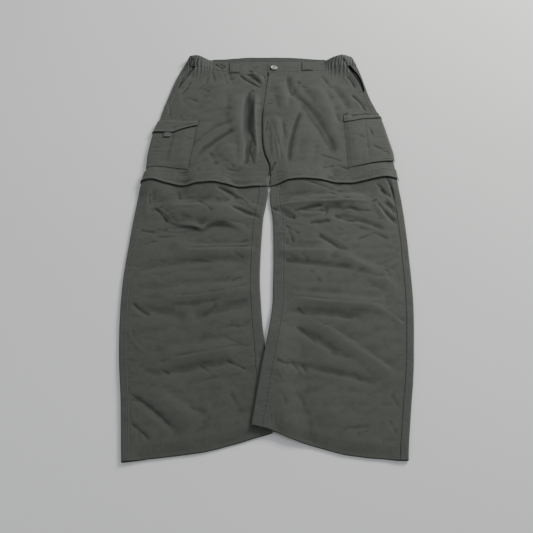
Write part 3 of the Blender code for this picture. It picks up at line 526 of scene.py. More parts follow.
def ripple(x: Array, y: Array, size_x: float, size_y: float, seed: int) -> Array:
    """Read an even, unrepeating ripple between -1 and 1.

    Args:
        x: Places across.
        y: Places along.
        size_x: Distance between two values across, in metres.
        size_y: The same along.
        seed: Chooses the ripple.

    Returns:
        The ripple's height at each place.
    """
    table = np.random.RandomState(seed).uniform(-1.0, 1.0, (64, 64))
    u, v = np.asarray(x) / size_x + 1000.0, np.asarray(y) / size_y + 1000.0
    iu, iv = np.floor(u).astype(int), np.floor(v).astype(int)
    fu, fv = smooth(u - iu), smooth(v - iv)
    a, b = table[iu % 64, iv % 64], table[(iu + 1) % 64, iv % 64]
    c, d = table[iu % 64, (iv + 1) % 64], table[(iu + 1) % 64, (iv + 1) % 64]
    return (a * (1 - fu) + b * fu) * (1 - fv) + (c * (1 - fu) + d * fu) * fv


def even(count: int, ease: float = 0.0, end: float = 0.0) -> Array:
    """Return shares from 0 to 1 for the lines of a grid.

    Args:
        count: Number of strips.
        ease: How strongly the lines are drawn towards both ends.
        end: Share of one more narrow strip at each end, which keeps an edge crisp.

    Returns:
        The shares, rising.
    """
    t = np.linspace(0.0, 1.0, count + 1)
    t = t - ease * np.sin(2 * math.pi * t) / (2 * math.pi)
    if end:
        t = np.unique(np.concatenate([t, [end, 1.0 - end]]))
    return t


class Plan:
    """Outline, seams and lines of one side, seen from above."""

    def __init__(self, side: Side) -> None:
        """Keep the side's tables at hand."""
        self.side = side
        self.sign = side.value
        self.word = side.name.lower()
        self.rows = sorted(SECTIONS, key=lambda row: row.y)

    def raw(self, name: str, y: Array) -> Array:
        """Read one edge of the outline at y."""
        return curve(y, column(self.rows, "y"), column(self.rows, name))

    def outer(self, y: Array) -> Array:
        """Outer edge at y."""
        return self.raw(self.word + "_outer", y)

    def inner(self, y: Array) -> Array:
        """Centre seam, then the inside of the leg, a little narrower under the storm band."""
        narrow = 2.6 * MM * fading(np.abs(y - 105 * MM), 20, 1.5)
        return self.raw(self.word + "_inner", y) + self.sign * (CENTRE_GAP + narrow)

    def across(self, rows: Sequence[NamedTuple], x: Array) -> Array:
        """Read a line across the trousers at x."""
        return curve(x, column(rows, "x"), column(rows, "y"))

    def slant(self, y: Array) -> Array:
        """The hand pocket's slanted edge at y."""
        rows = SLANT[self.sign]
        return curve(y, column(rows, "y"), column(rows, "x"))

    def zip(self, x: Array) -> Array:
        """Lower edge of the storm band at x."""
        return self.across(ZIP_LINE[self.sign], x)

    def zip_under(self, x: Array) -> Array:
        """Lower edge of the zip's tape on the underside, straight across the leg."""
        first, last = ZIP_LINE[self.sign][0], ZIP_LINE[self.sign][-1]
        share = (x - first.x * MM) / ((last.x - first.x) * MM)
        return (first.y + (last.y - first.y) * share + 3) * MM

    def tape_foot(self, x: Array) -> Array:
        """Lower edge of the zip's tape on the front."""
        return self.zip(x) + TAPE_RISE

    def tape_top(self, x: Array) -> Array:
        """Upper edge of the zip's tape on the front, where the hip begins."""
        return self.tape_foot(x) + ZIP_TAPE

    def pocket_edge(self, y: Array) -> Array:
        """Inner edge of the cargo pocket at y."""
        pocket = POCKETS[self.sign]
        share = (pocket.mouth * MM - y) / ((pocket.mouth - 145) * MM)
        return (pocket.inner_top + (pocket.inner_foot - pocket.inner_top) * share) * MM

    def between_seams(self, slit: float) -> dict[str, Line]:
        """Edges of a front piece that ends a slit short of both side seams."""
        return {"outer_at": lambda y: self.out_seam(y) - self.sign * slit,
                "inner_at": lambda y: self.in_seam(y) + self.sign * slit}

    def hem(self, x: Array) -> Array:
        """Hem at x, with the small waves of its edge."""
        return self.across(HEM[self.sign], x) + 0.5 * MM * ripple(x, x * 0, 0.021, 1.0, 51)

    def waist_foot(self, x: Array) -> Array:
        """Lower edge of the waistband at x."""
        return self.across(WAIST_FOOT[self.sign], x)

    def waist_top(self, x: Array) -> Array:
        """Upper edge of the front waistband at x."""
        return self.across(WAIST_TOP[self.sign], x)

    def strip(self, y: Array) -> Array:
        """Width of the strip that comes round the outer edge, narrow beside the right hand pocket."""
        if self.side is Side.LEFT:
            return np.full_like(y, OUTER_STRIP)
        return curve(y, (0.360, 0.386, 0.402, 0.428, 0.456, 0.485, 0.510),
                     (OUTER_STRIP, 0.0095, 0.0050, 0.0042, 0.0070, 0.0165, 0.0180))

    def out_seam(self, y: Array) -> Array:
        """Seam between the front and the strip that comes round the outer edge."""
        return self.outer(y) - self.sign * self.strip(y)

    def in_seam(self, y: Array) -> Array:
        """Seam between the front of the leg and the strip that comes round its inside."""
        return self.inner(y) + self.sign * INNER_STRIP

    def front_outer(self, y: Array) -> Array:
        """Outer edge of the thigh's front: the slanted pocket above, the side seam below."""
        strip = self.out_seam(y) - self.sign * 0.15 * MM
        pulled = self.slant(y)
        near = self.sign * np.minimum(self.sign * strip, self.sign * pulled)
        return np.where(y > SLANT[self.sign][0].y * MM, near, strip)


class Relief:
    """Height of the cloth's outer face on one side, with its folds, creases and puckers."""

    def __init__(self, plan: Plan) -> None:
        """Work out how high the cloth is at both rolled edges."""
        self.plan = plan
        self.sign = plan.sign
        self.levels = np.linspace(-0.56, 0.56, 1121)
        inset = self.sign * 3 * MM
        self.out_radius = self.coarse(plan.outer(self.levels) - inset, self.levels) / 2
        self.in_radius = self.coarse(plan.inner(self.levels) + inset, self.levels) / 2

    def all(self) -> tuple["Relief", Plan, int, str]:
        """The relief with its plan, the side's sign and the side's word."""
        return self, self.plan, self.sign, self.plan.word

    def roll_out(self, y: Array) -> Array:
        """Radius of the roll at the outer edge."""
        return np.interp(y, self.levels, self.out_radius)

    def roll_in(self, y: Array) -> Array:
        """Radius of the roll at the inner edge."""
        return np.interp(y, self.levels, self.in_radius)

    @staticmethod
    def run(row: NamedTuple, x: Array, y: Array) -> Place:
        """Place points on a fold: their share along it, their distance from it and its fading ends."""
        ax, ay, bx, by = (v * MM for v in (row.x0, row.y0, row.x1, row.y1))
        length = math.hypot(bx - ax, by - ay)
        ex, ey = (bx - ax) / length, (by - ay) / length
        along = ((x - ax) * ex + (y - ay) * ey) / length
        across = (x - ax) * -ey + (y - ay) * ex
        off = across - row.bow * MM * 4.0 * along * (1.0 - along)
        return along, off, smooth(along / 0.22) * smooth((1.0 - along) / 0.22)

    def folds(self, rows: Sequence[Fold], x: Array, y: Array) -> Array:
        """Add up broad ridges and troughs."""
        total = np.zeros_like(x)
        for row in rows:
            _, off, ends = self.run(row, x, y)
            reach = np.clip(np.abs(off) / (row.width * MM), 0.0, 1.0)
            total = total + row.height * MM * np.cos(reach * math.pi / 2) ** 2 * ends
        return total

    def creases(self, rows: Sequence[Crease], x: Array, y: Array) -> Array:
        """Add up sharp creases, whose depth wavers along them."""
        total = np.zeros_like(x)
        for number, row in enumerate(rows):
            along, off, ends = self.run(row, x, y)
            wide = np.where(off < 0, row.near, row.far) * MM
            reach = np.clip(np.abs(off) / wide, 0.0, 1.0)
            waver = 1.0 + 0.3 * np.sin(along * 9.0 + number * 1.7)
            form = (1 - reach) ** 2 * (1 + 1.2 * reach)
            total = total + CREASE_GAIN * row.height * MM * form * ends * waver
        return total

    def shades(self, rows: Sequence[Crease], x: Array, y: Array) -> Array:
        """Add up creases as shade instead of height."""
        return self.creases(rows, x, y) / (CREASE_GAIN * MM)

    def crinkles(self, x: Array, y: Array) -> Array:
        """Add up small creases strewn over the cloth, more of them at the knee and the crotch."""
        dice = np.random.RandomState(90 + self.sign)
        rows = []
        for _ in range(150):
            spot = dice.uniform(-500, 470) if dice.rand() < 0.62 else dice.normal(20, 75)
            mid = self.sign * dice.uniform(8, 262)
            turn = dice.normal(-0.12 * self.sign, 0.42)
            if spot > 140 and dice.rand() < 0.45:
                turn += math.pi / 2
            reach = dice.uniform(7, 26)
            dx, dy = reach * math.cos(turn), reach * math.sin(turn)
            high = dice.choice((-1, -1, 1)) * dice.uniform(0.08, 0.27)
            rows.append(Crease(mid - dx, spot - dy, mid + dx, spot + dy, dice.normal(0, 2),
                               dice.uniform(3, 7), dice.uniform(3, 7), high))
        return self.creases(rows, x, y)

    def coarse(self, x: Array, y: Array) -> Array:
        """Height of the cloth as the solids have it."""
        plan = self.plan
        from_edges = np.minimum(np.abs(plan.outer(y) - x), np.abs(x - plan.inner(y)))
        above = y - plan.zip(x)
        rows = ZIP_LINE[self.sign]
        wave = curve(x, column(rows, "x"), column(rows, "z")) - REST_HEIGHT
        near_zip = smooth(1.0 - np.where(above > 0, above / (85 * MM), -above / (50 * MM)))
        clear = 1.0 - 0.85 * fading(np.abs(above - 13 * MM), 45)
        edge = 0.35 + 0.65 * smooth(from_edges / (22 * MM))
        flat_hem = 1.0 - 0.6 * before(y, -430, 60)
        soft = 1.0 - 0.28 * before(y, -44, 40)
        folds = self.folds(FOLDS[self.sign], x, y) * clear * edge * flat_hem * soft
        height = REST_HEIGHT + wave * near_zip + folds
        for dome in DOMES:
            away = np.hypot((x - dome.x * MM) / (dome.reach_x * MM), (y - dome.y * MM) / (dome.reach_y * MM))
            height = height + dome.height * MM * smooth(1.0 - away)
        if self.sign < 0:
            from_inner = np.abs(x - plan.inner(y))
            press = before(y, -225, 50) * fading(from_inner - 42 * MM, 35)
            height = height + (4.4 * MM - height) * press
        return self.limit(height, LEAST_HEIGHT)

    @staticmethod
    def limit(height: Array, low: float) -> Array:
        """Keep heights over a least one, easing towards it."""
        soft = 1.2 * MM
        return np.where(height < low + soft, low + soft * np.exp((height - low - soft) / soft), height)

    @staticmethod
    def pucker(off: Array, run: Array, reach: float, deep: float, seed: int) -> Array:
        """Short puckers that a row of stitches draws across itself.

        Args:
            off: Distance from the seam.
            run: Position along it.
            reach: How far the puckers run out, in millimetres.
            deep: Their depth, in millimetres.
            seed: Chooses their uneven spacing.

        Returns:
            Change of height.
        """
        drift = 1.6 * ripple(run, run * 0, 0.019, 1.0, seed)
        strong = 0.55 + 0.45 * ripple(run, run * 0, 0.033, 1.0, seed + 1)
        fan = np.exp(-((off / (reach * MM)) ** 2))
        return deep * MM * fan * strong * np.sin(run / (8.5 * MM) * 2 * math.pi + drift * 2)

    def fine(self, x: Array, y: Array) -> Array:
        """Creases, cockles and puckers that are finer than the solids' folds."""
        plan, sign, pucker = self.plan, self.sign, self.pucker
        calm = 1.0 - 0.35 * before(y, -60, 40)
        total = self.creases(CREASES[sign], x, y) * calm + self.folds(SWELLS[sign], x, y)
        for height, skew, size_x, size_y, seed in COCKLES:
            total += height * MM * ripple(x + skew * y, y, size_x, size_y, seed + sign)
        total += self.crinkles(x, y)
        seam_in = np.where(y > 130 * MM, plan.inner(y), plan.in_seam(y))
        top_stitch = plan.zip(x) + 24.5 * MM
        band = y - plan.waist_foot(x)
        gathered = smooth((sign * (x - BAND_END[sign]) + 8 * MM) / (14 * MM)) * (y > 0.4)
        beside_pocket = after(y, 135, 12) * before(y, 312, 12)
        total += pucker(x - plan.out_seam(y), y, 10, 0.42, 21 + sign)
        total += pucker(x - seam_in, y, 9, 0.36, 25 + sign)
        total += pucker(y - top_stitch, x, 7, 0.34, 29 + sign)
        total += pucker(band, x, 9, 0.34, 33 + sign)
        total += pucker(band + 4 * MM, x * 1.15, 20, 0.95, 35 + sign) * gathered
        total += pucker(y - plan.hem(x) - 21 * MM, x, 8, 0.24, 37 + sign)
        total += pucker(x - POCKETS[sign].inner_foot * MM, y, 8, 0.28, 41 + sign) * beside_pocket
        if sign < 0:
            off, lip = self.puff(x, y)
            drop = 5.5 + 6.5 * after(x, -122, 20)
            total += 3.3 * MM * lip * np.where(off < 0, smooth(1 + off / drop), 1 - smooth(off / 30))
        else:
            total += pucker(x - 47 * MM, y, 7, 0.28, 45) * after(y, 372, 12)
            patch = smooth(1.4 - np.hypot((x - 23 * MM) / (20 * MM), (y + 349 * MM) / (24 * MM)))
            total += 0.35 * MM * patch * ripple(x, y, 0.0046, 0.0042, 47)
        return total

    @staticmethod
    def puff(x: Array, y: Array) -> tuple[Array, Array]:
        """Distance above the puff's lower lip below the left knee (mm), and how strong the lip is there."""
        line = curve(x, column(PUFF_LIP, "x"), column(PUFF_LIP, "y"))
        places, strong = PUFF_STRONG
        inside = (x > places[0]) * (x < places[-1])
        return (y - line) / MM, np.clip(curve(x, places, strong), 0, 1) * inside

    def closed_hem(self, x: Array, y: Array) -> Array:
        """Share by which the hem's edge comes down onto the underside, open at its corners."""
        plan = self.plan
        near = fading(y - plan.hem(x), 30) * (y < -0.38)
        outer = after(np.abs(plan.outer(y) - x), 12, 22)
        inner = after(np.abs(x - plan.inner(y)), 26 if self.sign > 0 else 2, 20)
        return near * outer * inner * (0.82 + 0.18 * ripple(x, x * 0, 0.03, 1.0, 49))

    def top(self, x: Array, y: Array) -> Array:
        """Height of the front's outer face."""
        height = self.limit(self.coarse(x, y) + self.fine(x, y), LEAST_FINE)
        return height + (2.35 * MM - height) * self.closed_hem(x, y)

    def under(self, x: Array, y: Array) -> Array:
        """Rise of the underside off the floor in its soft channels."""
        room = np.maximum(self.coarse(x, y) - 2 * CLOTH - 0.6 * MM, 0.0)
        rise = self.folds(BACK_FOLDS[self.sign], x, y) + 0.12 * MM * (1 + ripple(x, y, 0.03, 0.02, 55))
        seams = self.pucker(y - self.plan.zip_under(x), x, 16, 0.25, 57) + 0.25 * MM
        near_zip = fading(np.abs(y - self.plan.zip_under(x) - 7 * MM), 30)
        return np.minimum(np.maximum(rise + seams * near_zip, 0.0), 0.55 * room)

    def lift(self, x: Array, y: Array) -> Array:
        """Rise of the right leg where it lies over the inside of the left leg."""
        if self.sign < 0:
            return np.zeros_like(x)
        reach = self.plan.raw("left_inner", y) + 18 * MM
        over = smooth((reach + 52 * MM - x) / (52 * MM))
        return LEG_LIFT * over * before(y, -195, 85)


def settle(x_of: Line, low: Line, high: Line, share: Array) -> tuple[Array, Array]:
    """Find points on lines across a piece whose edges themselves depend on the point.

    Args:
        x_of: Place across at a given y.
        low: Lower edge at a given x.
        high: Upper edge at a given x.
        share: Share of the way from the lower edge to the upper one.

    Returns:
        The places across and along.
    """
    y = low(np.zeros_like(share)) * (1 - share) + high(np.zeros_like(share)) * share
    x = x_of(y)
    for _ in range(6):
        y = low(x) * (1 - share) + high(x) * share
        x = x_of(y)
    return x, y


@dataclass
class Wrapped:
    """A piece that lies flat below and comes round the edges onto the front."""

    relief: Relief
    spans: dict[Part, int]
    low: tuple[Line, Line]
    high: tuple[Line, Line]
    outer_strip: Callable
    inner_strip: float = 0.0
    ruffle: Optional[Callable] = None
    sunk: float = 0.0

    def __post_init__(self) -> None:
        """Lay out the stretches one after the other."""
        kinds, steps = [], []
        for part, strips in self.spans.items():
            for k in range(1 if kinds else 0, strips + 1):
                kinds.append(int(part))
                steps.append(k / strips)
        self.kinds, self.steps = np.array(kinds), np.array(steps)
        self.count = len(kinds)

    def place(self, index: Array, share: Array) -> Place:
        """Give the outer face at a line of the section and a share of the length."""
        relief, plan, sign = self.relief, self.relief.plan, self.relief.sign
        kind, t = self.kinds[index], self.steps[index]
        turn_in, turn_out = kind == Part.INNER_ROLL, kind == Part.OUTER_ROLL
        top_in, top_out = kind == Part.INNER_TOP, kind == Part.OUTER_TOP
        below = kind == Part.UNDER
        swing = np.where(turn_in, (0.5 - t) * math.pi, (t - 0.5) * math.pi)
        on_top = np.where(top_in | top_out, 1.0, np.where(turn_in | turn_out, (1 + np.sin(swing)) / 2, 0.0))
        has_in = Part.INNER_ROLL in self.kinds

        def x_of(y: Array) -> Array:
            """Place across at y."""
            outer, inner = plan.outer(y), plan.inner(y)
            r_out, r_in = relief.roll_out(y), relief.roll_in(y)
            centre_out = outer - sign * r_out
            centre_in = inner + sign * (r_in if has_in else 0.0)
            x = np.where(below, centre_in + (centre_out - centre_in) * t, 0.0)
            x = np.where(turn_out, centre_out + sign * r_out * np.cos(swing), x)
            x = np.where(turn_in, centre_in - sign * r_in * np.cos(swing), x)
            x = np.where(top_out, centre_out - sign * (self.outer_strip(y) - r_out) * t, x)
            return np.where(top_in, centre_in + sign * (self.inner_strip - r_in) * (1 - t), x)

        def ends(pair: tuple[Line, Line]) -> Line:
            """Pass from the line below to the one on top."""
            return lambda x: pair[0](x) * (1 - on_top) + pair[1](x) * on_top

        x, y = settle(x_of, ends(self.low), ends(self.high), share)
        inside = turn_in | top_in
        radius = np.where(inside, relief.roll_in(y), relief.roll_out(y))
        centre = np.where(inside, plan.inner(y) + sign * radius, plan.outer(y) - sign * radius)
        crown = relief.coarse(centre, y) - 2 * radius + relief.fine(x, y)
        z = radius * (1 + np.sin(swing)) + crown * on_top ** 2
        z = np.where(below, relief.under(x, y) + self.sunk, z)
        z = np.where(top_in | top_out, relief.top(x, y), z)
        if self.sunk:
            z = np.where(below, z, np.maximum(z, self.sunk * (1 - on_top)))
        if self.ruffle is not None:
            z = z + self.ruffle(x, y, on_top)
        return x, y, z + relief.lift(x, y)


@dataclass
class Laid:
    """A piece that lies on the front at a given offset, and may turn down round either edge."""

    relief: Relief
    low: Line
    high: Line
    offset: Surface
    columns: Array
    outer_at: Optional[Line] = None
    inner_at: Optional[Line] = None
    turn: int = 8
    thigh_turn: int = 5
    drag: Optional[Surface] = None

    def __post_init__(self) -> None:
        """Lay out the flat stretch between the turned ones."""
        marks = []
        if self.inner_at is None:
            marks += [(Part.THIGH, k / self.thigh_turn) for k in range(self.thigh_turn)]
        marks += [(Part.FLAT, share) for share in self.columns]
        if self.outer_at is None:
            marks += [(Part.SIDE, (k + 1) / self.turn) for k in range(self.turn)]
        self.kinds = np.array([int(m[0]) for m in marks])
        self.steps = np.array([m[1] for m in marks])
        self.count = len(marks)

    def place(self, index: Array, share: Array) -> Place:
        """Give the outer face at a line of the section and a share of the length."""
        relief, plan, sign = self.relief, self.relief.plan, self.relief.sign
        kind, t = self.kinds[index], self.steps[index]
        side, thigh = kind == Part.SIDE, kind == Part.THIGH

        def swing_of(radius: Array, lift: Array) -> Array:
            """Angle by which the outer edge turns down."""
            return t * np.arccos(np.clip((SIDE_FOOT - radius) / (radius + lift), -0.6, 0.6))

        def x_of(y: Array) -> Array:
            """Place across at y."""
            outer, inner, r_out = plan.outer(y), plan.inner(y), relief.roll_out(y)
            start = inner + sign * THIGH_ROLL if self.inner_at is None else self.inner_at(y)
            end = outer - sign * r_out if self.outer_at is None else self.outer_at(y)
            x = start + (end - start) * t
            lift = self.offset(x, y)
            turned = outer - sign * r_out + sign * (r_out + lift) * np.sin(swing_of(r_out, lift))
            x = np.where(side, turned, x)
            inwards = inner + sign * THIGH_ROLL - sign * (THIGH_ROLL + lift) * np.sin((1 - t) * math.pi / 2)
            return np.where(thigh, inwards, x)

        x, y = settle(x_of, self.low, self.high, share)
        radius = relief.roll_out(y)
        lift = self.offset(x, y)
        flat = relief.top(x, y) + lift
        swing = swing_of(radius, lift)
        crown = relief.coarse(plan.outer(y) - sign * radius, y) - 2 * radius + relief.fine(x, y)
        turned = radius + (radius + lift) * np.cos(swing) + crown * ((1 + np.cos(swing)) / 2) ** 2
        z = np.where(side, turned, flat)
        start = plan.inner(y) + sign * THIGH_ROLL
        top = relief.top(start, y)
        drop = (top - CLOTH - 0.6 * MM) * before(y, 345, 90)
        rolled = top - drop + (drop + lift) * np.cos((1 - t) * math.pi / 2)
        part = np.clip(drop / (1.0 * MM), 0.0, 1.0)
        z = np.where(thigh, rolled * part + (relief.top(x, y) + lift) * (1 - part), z)
        z = z + relief.lift(x, y)
        if self.drag is not None:
            y = y + self.drag(x, y)
        return x, y, z


@dataclass
class Patch:
    """A piece given by one function of its two shares."""

    columns: Array
    surface: Callable

    def __post_init__(self) -> None:
        """Count the lines across."""
        self.count = len(self.columns)

    def place(self, index: Array, share: Array) -> Place:
        """Give the outer face at a line of the section and a share of the length."""
        return self.surface(self.columns[index], share)


def freeze(shell: bmesh.types.BMesh, name: str) -> bpy.types.Mesh:
    """Write a bmesh to a new mesh and free it."""
    mesh = bpy.data.meshes.new(name)
    shell.to_mesh(mesh)
    shell.free()
    return mesh


def show(name: str, mesh: bpy.types.Mesh, material: bpy.types.Material) -> bpy.types.Object:
    """Dress a mesh and put it in the scene as a smooth object."""
    mesh.materials.append(material)
    mesh.shade_smooth()
    piece = bpy.data.objects.new(name, mesh)
    bpy.context.scene.collection.objects.link(piece)
    return piece


class Wire:
    """A socket of a shader, with arithmetic that adds Math nodes."""

    def __init__(self, graph: "Graph", socket: bpy.types.NodeSocket) -> None:
        """Wrap one output socket."""
        self.graph, self.socket = graph, socket

    def math(self, operation: str, *others: "Wire | float", first: bool = True) -> "Wire":
        """Add a Math node that reads this wire and others."""
        values = [self, *others] if first else [*others, self]
        return self.graph.node("Math", {"operation": operation}, dict(enumerate(values)))

    def __add__(self, other: "Wire | float") -> "Wire":
        """Sum."""
        return self.math("ADD", other)

    __radd__ = __add__

    def __mul__(self, other: "Wire | float") -> "Wire":
        """Product."""
        return self.math("MULTIPLY", other)

    __rmul__ = __mul__

    def __sub__(self, other: "Wire | float") -> "Wire":
        """Difference."""
        return self.math("SUBTRACT", other)

    def __rsub__(self, other: "Wire | float") -> "Wire":
        """Difference from a number."""
        return self.math("SUBTRACT", other, first=False)

    def sine(self) -> "Wire":
        """Sine of the wire."""
        return self.math("SINE")

    def within(self, low: float, high: float) -> "Wire":
        """Share of the way from low to high, held between 0 and 1."""
        return self.graph.node("MapRange", {"clamp": True, "interpolation_type": "SMOOTHSTEP"},
                               {"Value": self, "From Min": low, "From Max": high})


class Graph:
    """Shader of one material."""

    def __init__(self, name: str) -> None:
        """Make an empty material with its Principled shader."""
        self.material = bpy.data.materials.new(name)
        self.material.use_nodes = True
        self.tree = self.material.node_tree
        self.shader = self.tree.nodes["Principled BSDF"]

    def node(self, kind: str, settings: dict, inputs: dict, output: "str | int" = 0) -> Wire:
        """Add one node.

        Args:
            kind: The node's type, without ShaderNode.
            settings: Properties that are set first.
            inputs: Values or wires of its sockets, by name or number.
            output: Name or number of the output that is read.

        Returns:
            The output as a wire.
        """
        made = self.tree.nodes.new("ShaderNode" + kind)
        for key, value in settings.items():
            setattr(made, key, value)
        for key, value in inputs.items():
            self.feed(made.inputs[key], value)
        return Wire(self, made.outputs[output])

    def feed(self, socket: bpy.types.NodeSocket, value: "Wire | float | tuple") -> None:
        """Link a wire to a socket, or set its number or colour."""
        if isinstance(value, Wire):
            self.tree.links.new(value.socket, socket)
        else:
            socket.default_value = value

    def set(self, **values: "Wire | float | tuple") -> None:
        """Set sockets of the Principled shader, named with _ for a space."""
        for key, value in values.items():
            self.feed(self.shader.inputs[key.replace("_", " ")], value)

    def noise(self, place: Wire, scale: Triple, size: float = 1.0,
              detail: float = 2.0, rough: float = 0.5) -> Wire:
        """Noise between 0 and 1 on a place stretched by scale."""
        moved = self.node("Mapping", {"vector_type": "POINT"}, {"Vector": place, "Scale": scale})
        return self.node("TexNoise", {"noise_dimensions": "3D"},
                         {"Vector": moved, "Scale": size, "Detail": detail, "Roughness": rough}, "Fac")

    def mix(self, factor: "Wire | float", dark: "Wire | tuple", light: tuple) -> Wire:
        """Mix two colours."""
        made = self.tree.nodes.new("ShaderNodeMix")
        made.data_type = "RGBA"
        self.feed(made.inputs[0], factor)
        self.feed(made.inputs[6], dark if isinstance(dark, Wire) else (*dark, 1.0))
        made.inputs[7].default_value = (*light, 1.0)
        return Wire(self, made.outputs[2])

    def cloth_place(self) -> tuple[Wire, Wire, Wire]:
        """The piece's own cloth coordinates, in metres: both together, across and along."""
        uv = self.node("UVMap", {"uv_map": "cloth"}, {})
        parts = self.node("SeparateXYZ", {}, {"Vector": uv})
        return uv, parts, Wire(self, parts.socket.node.outputs[1])

    def mark(self, name: str) -> Wire:
        """Read a number kept on the piece's points."""
        return self.node("Attribute", {"attribute_type": "GEOMETRY", "attribute_name": name}, {}, "Fac")

    def bump(self, height: Wire, distance: float, strength: float = 1.0) -> None:
        """Raise the surface by a height between 0 and 1."""
        self.set(Normal=self.node("Bump", {},
                                  {"Height": height, "Distance": distance, "Strength": strength}, "Normal"))


DEEP_SHADE = (0.004, 0.0045, 0.004)


@dataclass(frozen=True)
class Finish:
    """A finish whose material is built once, under its own name."""

    name: str
    colour: Triple

    def make(self) -> bpy.types.Material:
        """Return the material, built when it is first asked for."""
        found = bpy.data.materials.get(self.name)
        if found is None:
            graph = Graph(self.name)
            self.dress(graph)
            found = graph.material
        return found

    def dress(self, graph: Graph) -> None:
        """Build the shader, which each finish does in its own way."""
        raise NotImplementedError

    def tint(self, share: float) -> tuple[float, ...]:
        """The colour times a share."""
        return tuple(c * share for c in self.colour)


@dataclass(frozen=True)
class Nylon(Finish):
    """Plain-woven nylon with a dry face and a faint sheen."""

    thread: float = 0.45 * MM
    roughness: float = 0.70
    sheen: float = 0.10
    contrast: float = 0.68

    def dress(self, graph: Graph) -> None:
        """Build the shader."""
        uv, across, along = graph.cloth_place()
        turn = math.pi / self.thread
        weave = (across * turn).sine() * (along * turn).sine()
        warp = graph.noise(uv, (1500, 90, 1), detail=2)
        weft = graph.noise(uv, (90, 1500, 1), detail=2)
        mottle = graph.noise(uv, (46, 46, 1), detail=4, rough=0.6)
        grain = graph.noise(uv, (420, 420, 1), detail=3, rough=0.65)
        broad = graph.noise(uv, (7, 5, 1), detail=2)
        deep, edge, shade = graph.mark("deep"), graph.mark("edge"), graph.mark("shade")
        tone = 0.5 + 0.22 * (warp - 0.5) + 0.22 * (weft - 0.5) + 0.20 * (mottle - 0.5) + \
            0.16 * (broad - 0.5) + 0.30 * (grain - 0.5) + 0.05 * weave
        worn = (1.0 - edge.within(0.0, 0.3)) * (0.02 + 0.10 * mottle)
        # Painted shade in hollows from the deep mark, and a faint painted highlight on ridges, capped at
        # 0.53; worn lightens the cloth along its edges
        tone = tone + 0.75 * (deep.math("MINIMUM", 0.53) - 0.5) + worn
        # Painted shade and painted shadow from the shade mark
        tone = tone * (1.0 - 0.86 * shade)
        dark, light = self.tint(1.0 - self.contrast), self.tint(1.0 + self.contrast)
        face = graph.mix(tone.within(-0.1, 1.1), dark, light)
        # The deepest painted shade goes on towards the near-black DEEP_SHADE
        graph.set(Base_Color=graph.mix(0.8 * shade.within(0.5, 1.0), face, DEEP_SHADE),
                  Roughness=self.roughness + 0.10 * (warp - 0.5) + 0.12 * (mottle - 0.5) - 0.08 * worn,
                  Sheen_Weight=self.sheen, Sheen_Roughness=0.5, Specular_IOR_Level=0.24)
        height = 0.5 + 0.24 * weave + 0.30 * (warp - 0.5) + 0.30 * (weft - 0.5) + 0.55 * (mottle - 0.5)
        graph.bump(height, 0.22 * MM, 0.9)


@dataclass(frozen=True)
class Webbing(Finish):
    """Ribbed tape or webbing."""
    rib: float = 1.1 * MM

    def dress(self, graph: Graph) -> None:
        """Build the shader."""
        uv, across, along = graph.cloth_place()
        turn = 2 * math.pi / self.rib
        ribs = 0.5 + 0.5 * (along * turn + 1.5 * (across * turn).sine()).sine()
        grain = graph.noise(uv, (900, 900, 1), detail=3)
        shade = graph.mark("shade")
        tone = (0.30 + 0.34 * ribs + 0.36 * grain) * (1.0 - 0.8 * shade)
        graph.set(Base_Color=graph.mix(tone, self.tint(0.45), self.tint(1.5)), Roughness=0.66 + 0.14 * grain,
                  Sheen_Weight=0.08, Specular_IOR_Level=0.4)
        graph.bump(0.7 * ribs + 0.3 * grain, 0.3 * MM, 0.8)


@dataclass(frozen=True)
class Thread(Finish):
    """Sewing thread, twisted, in the cloth's own colour or darker."""

    def dress(self, graph: Graph) -> None:
        """Build the shader."""
        place = graph.node("TexCoord", {}, {}, "Object")
        grain = graph.noise(place, (1, 1, 1), size=2600, detail=2)
        patch = graph.noise(place, (1, 1, 1), size=30, detail=2)
        tone = 0.55 * grain + 0.45 * patch
        graph.set(Base_Color=graph.mix(tone, self.tint(0.6), self.tint(1.4)),
                  Roughness=0.48 + 0.2 * grain, Specular_IOR_Level=0.45)
        graph.bump(grain, 0.08 * MM, 0.6)


@dataclass(frozen=True)
class Metal(Finish):
    """Plated button metal, a little brushed and rubbed."""

    def dress(self, graph: Graph) -> None:
        """Build the shader."""
        place = graph.node("TexCoord", {}, {}, "Object")
        rub = graph.noise(place, (1, 1, 1), size=420, detail=4, rough=0.6)
        brush = graph.noise(place, (1, 14, 1), size=260, detail=2)
        graph.set(Base_Color=graph.mix(0.6 * rub + 0.4 * brush, self.tint(0.72), self.tint(1.18)),
                  Metallic=1.0, Roughness=0.34 + 0.22 * rub)
        graph.bump(0.5 * rub + 0.5 * brush, 0.06 * MM, 0.5)


CLOTH_FACE = Nylon("nylon_face", (0.0568, 0.0625, 0.0510))
CLOTH_SIDE = Nylon("nylon_side_strip", (0.0545, 0.0600, 0.0510))
CLOTH_LINING = Nylon("nylon_inside", (0.044, 0.049, 0.046))
# Near-black cloth for the right hand pocket's facing: painted shade inside the gaping pocket
CLOTH_POCKET_SHADE = Nylon("nylon_pocket", (0.016, 0.018, 0.016), roughness=0.8, sheen=0.02)
CLOTH_WAIST = Nylon("nylon_gathered", (0.0555, 0.0620, 0.0530), roughness=0.66)
ZIP_WEB = Webbing("zip_tape_weave", (0.030, 0.033, 0.032))
TAB_WEB = Webbing("tab_webbing", (0.060, 0.066, 0.062), rib=1.6 * MM)
SEWING = Thread("sewing_thread", (0.028, 0.032, 0.028))
TEETH = Thread("zip_coil", (0.020, 0.022, 0.022))
BUTTON_METAL = Metal("button_plate", (0.42, 0.42, 0.405))


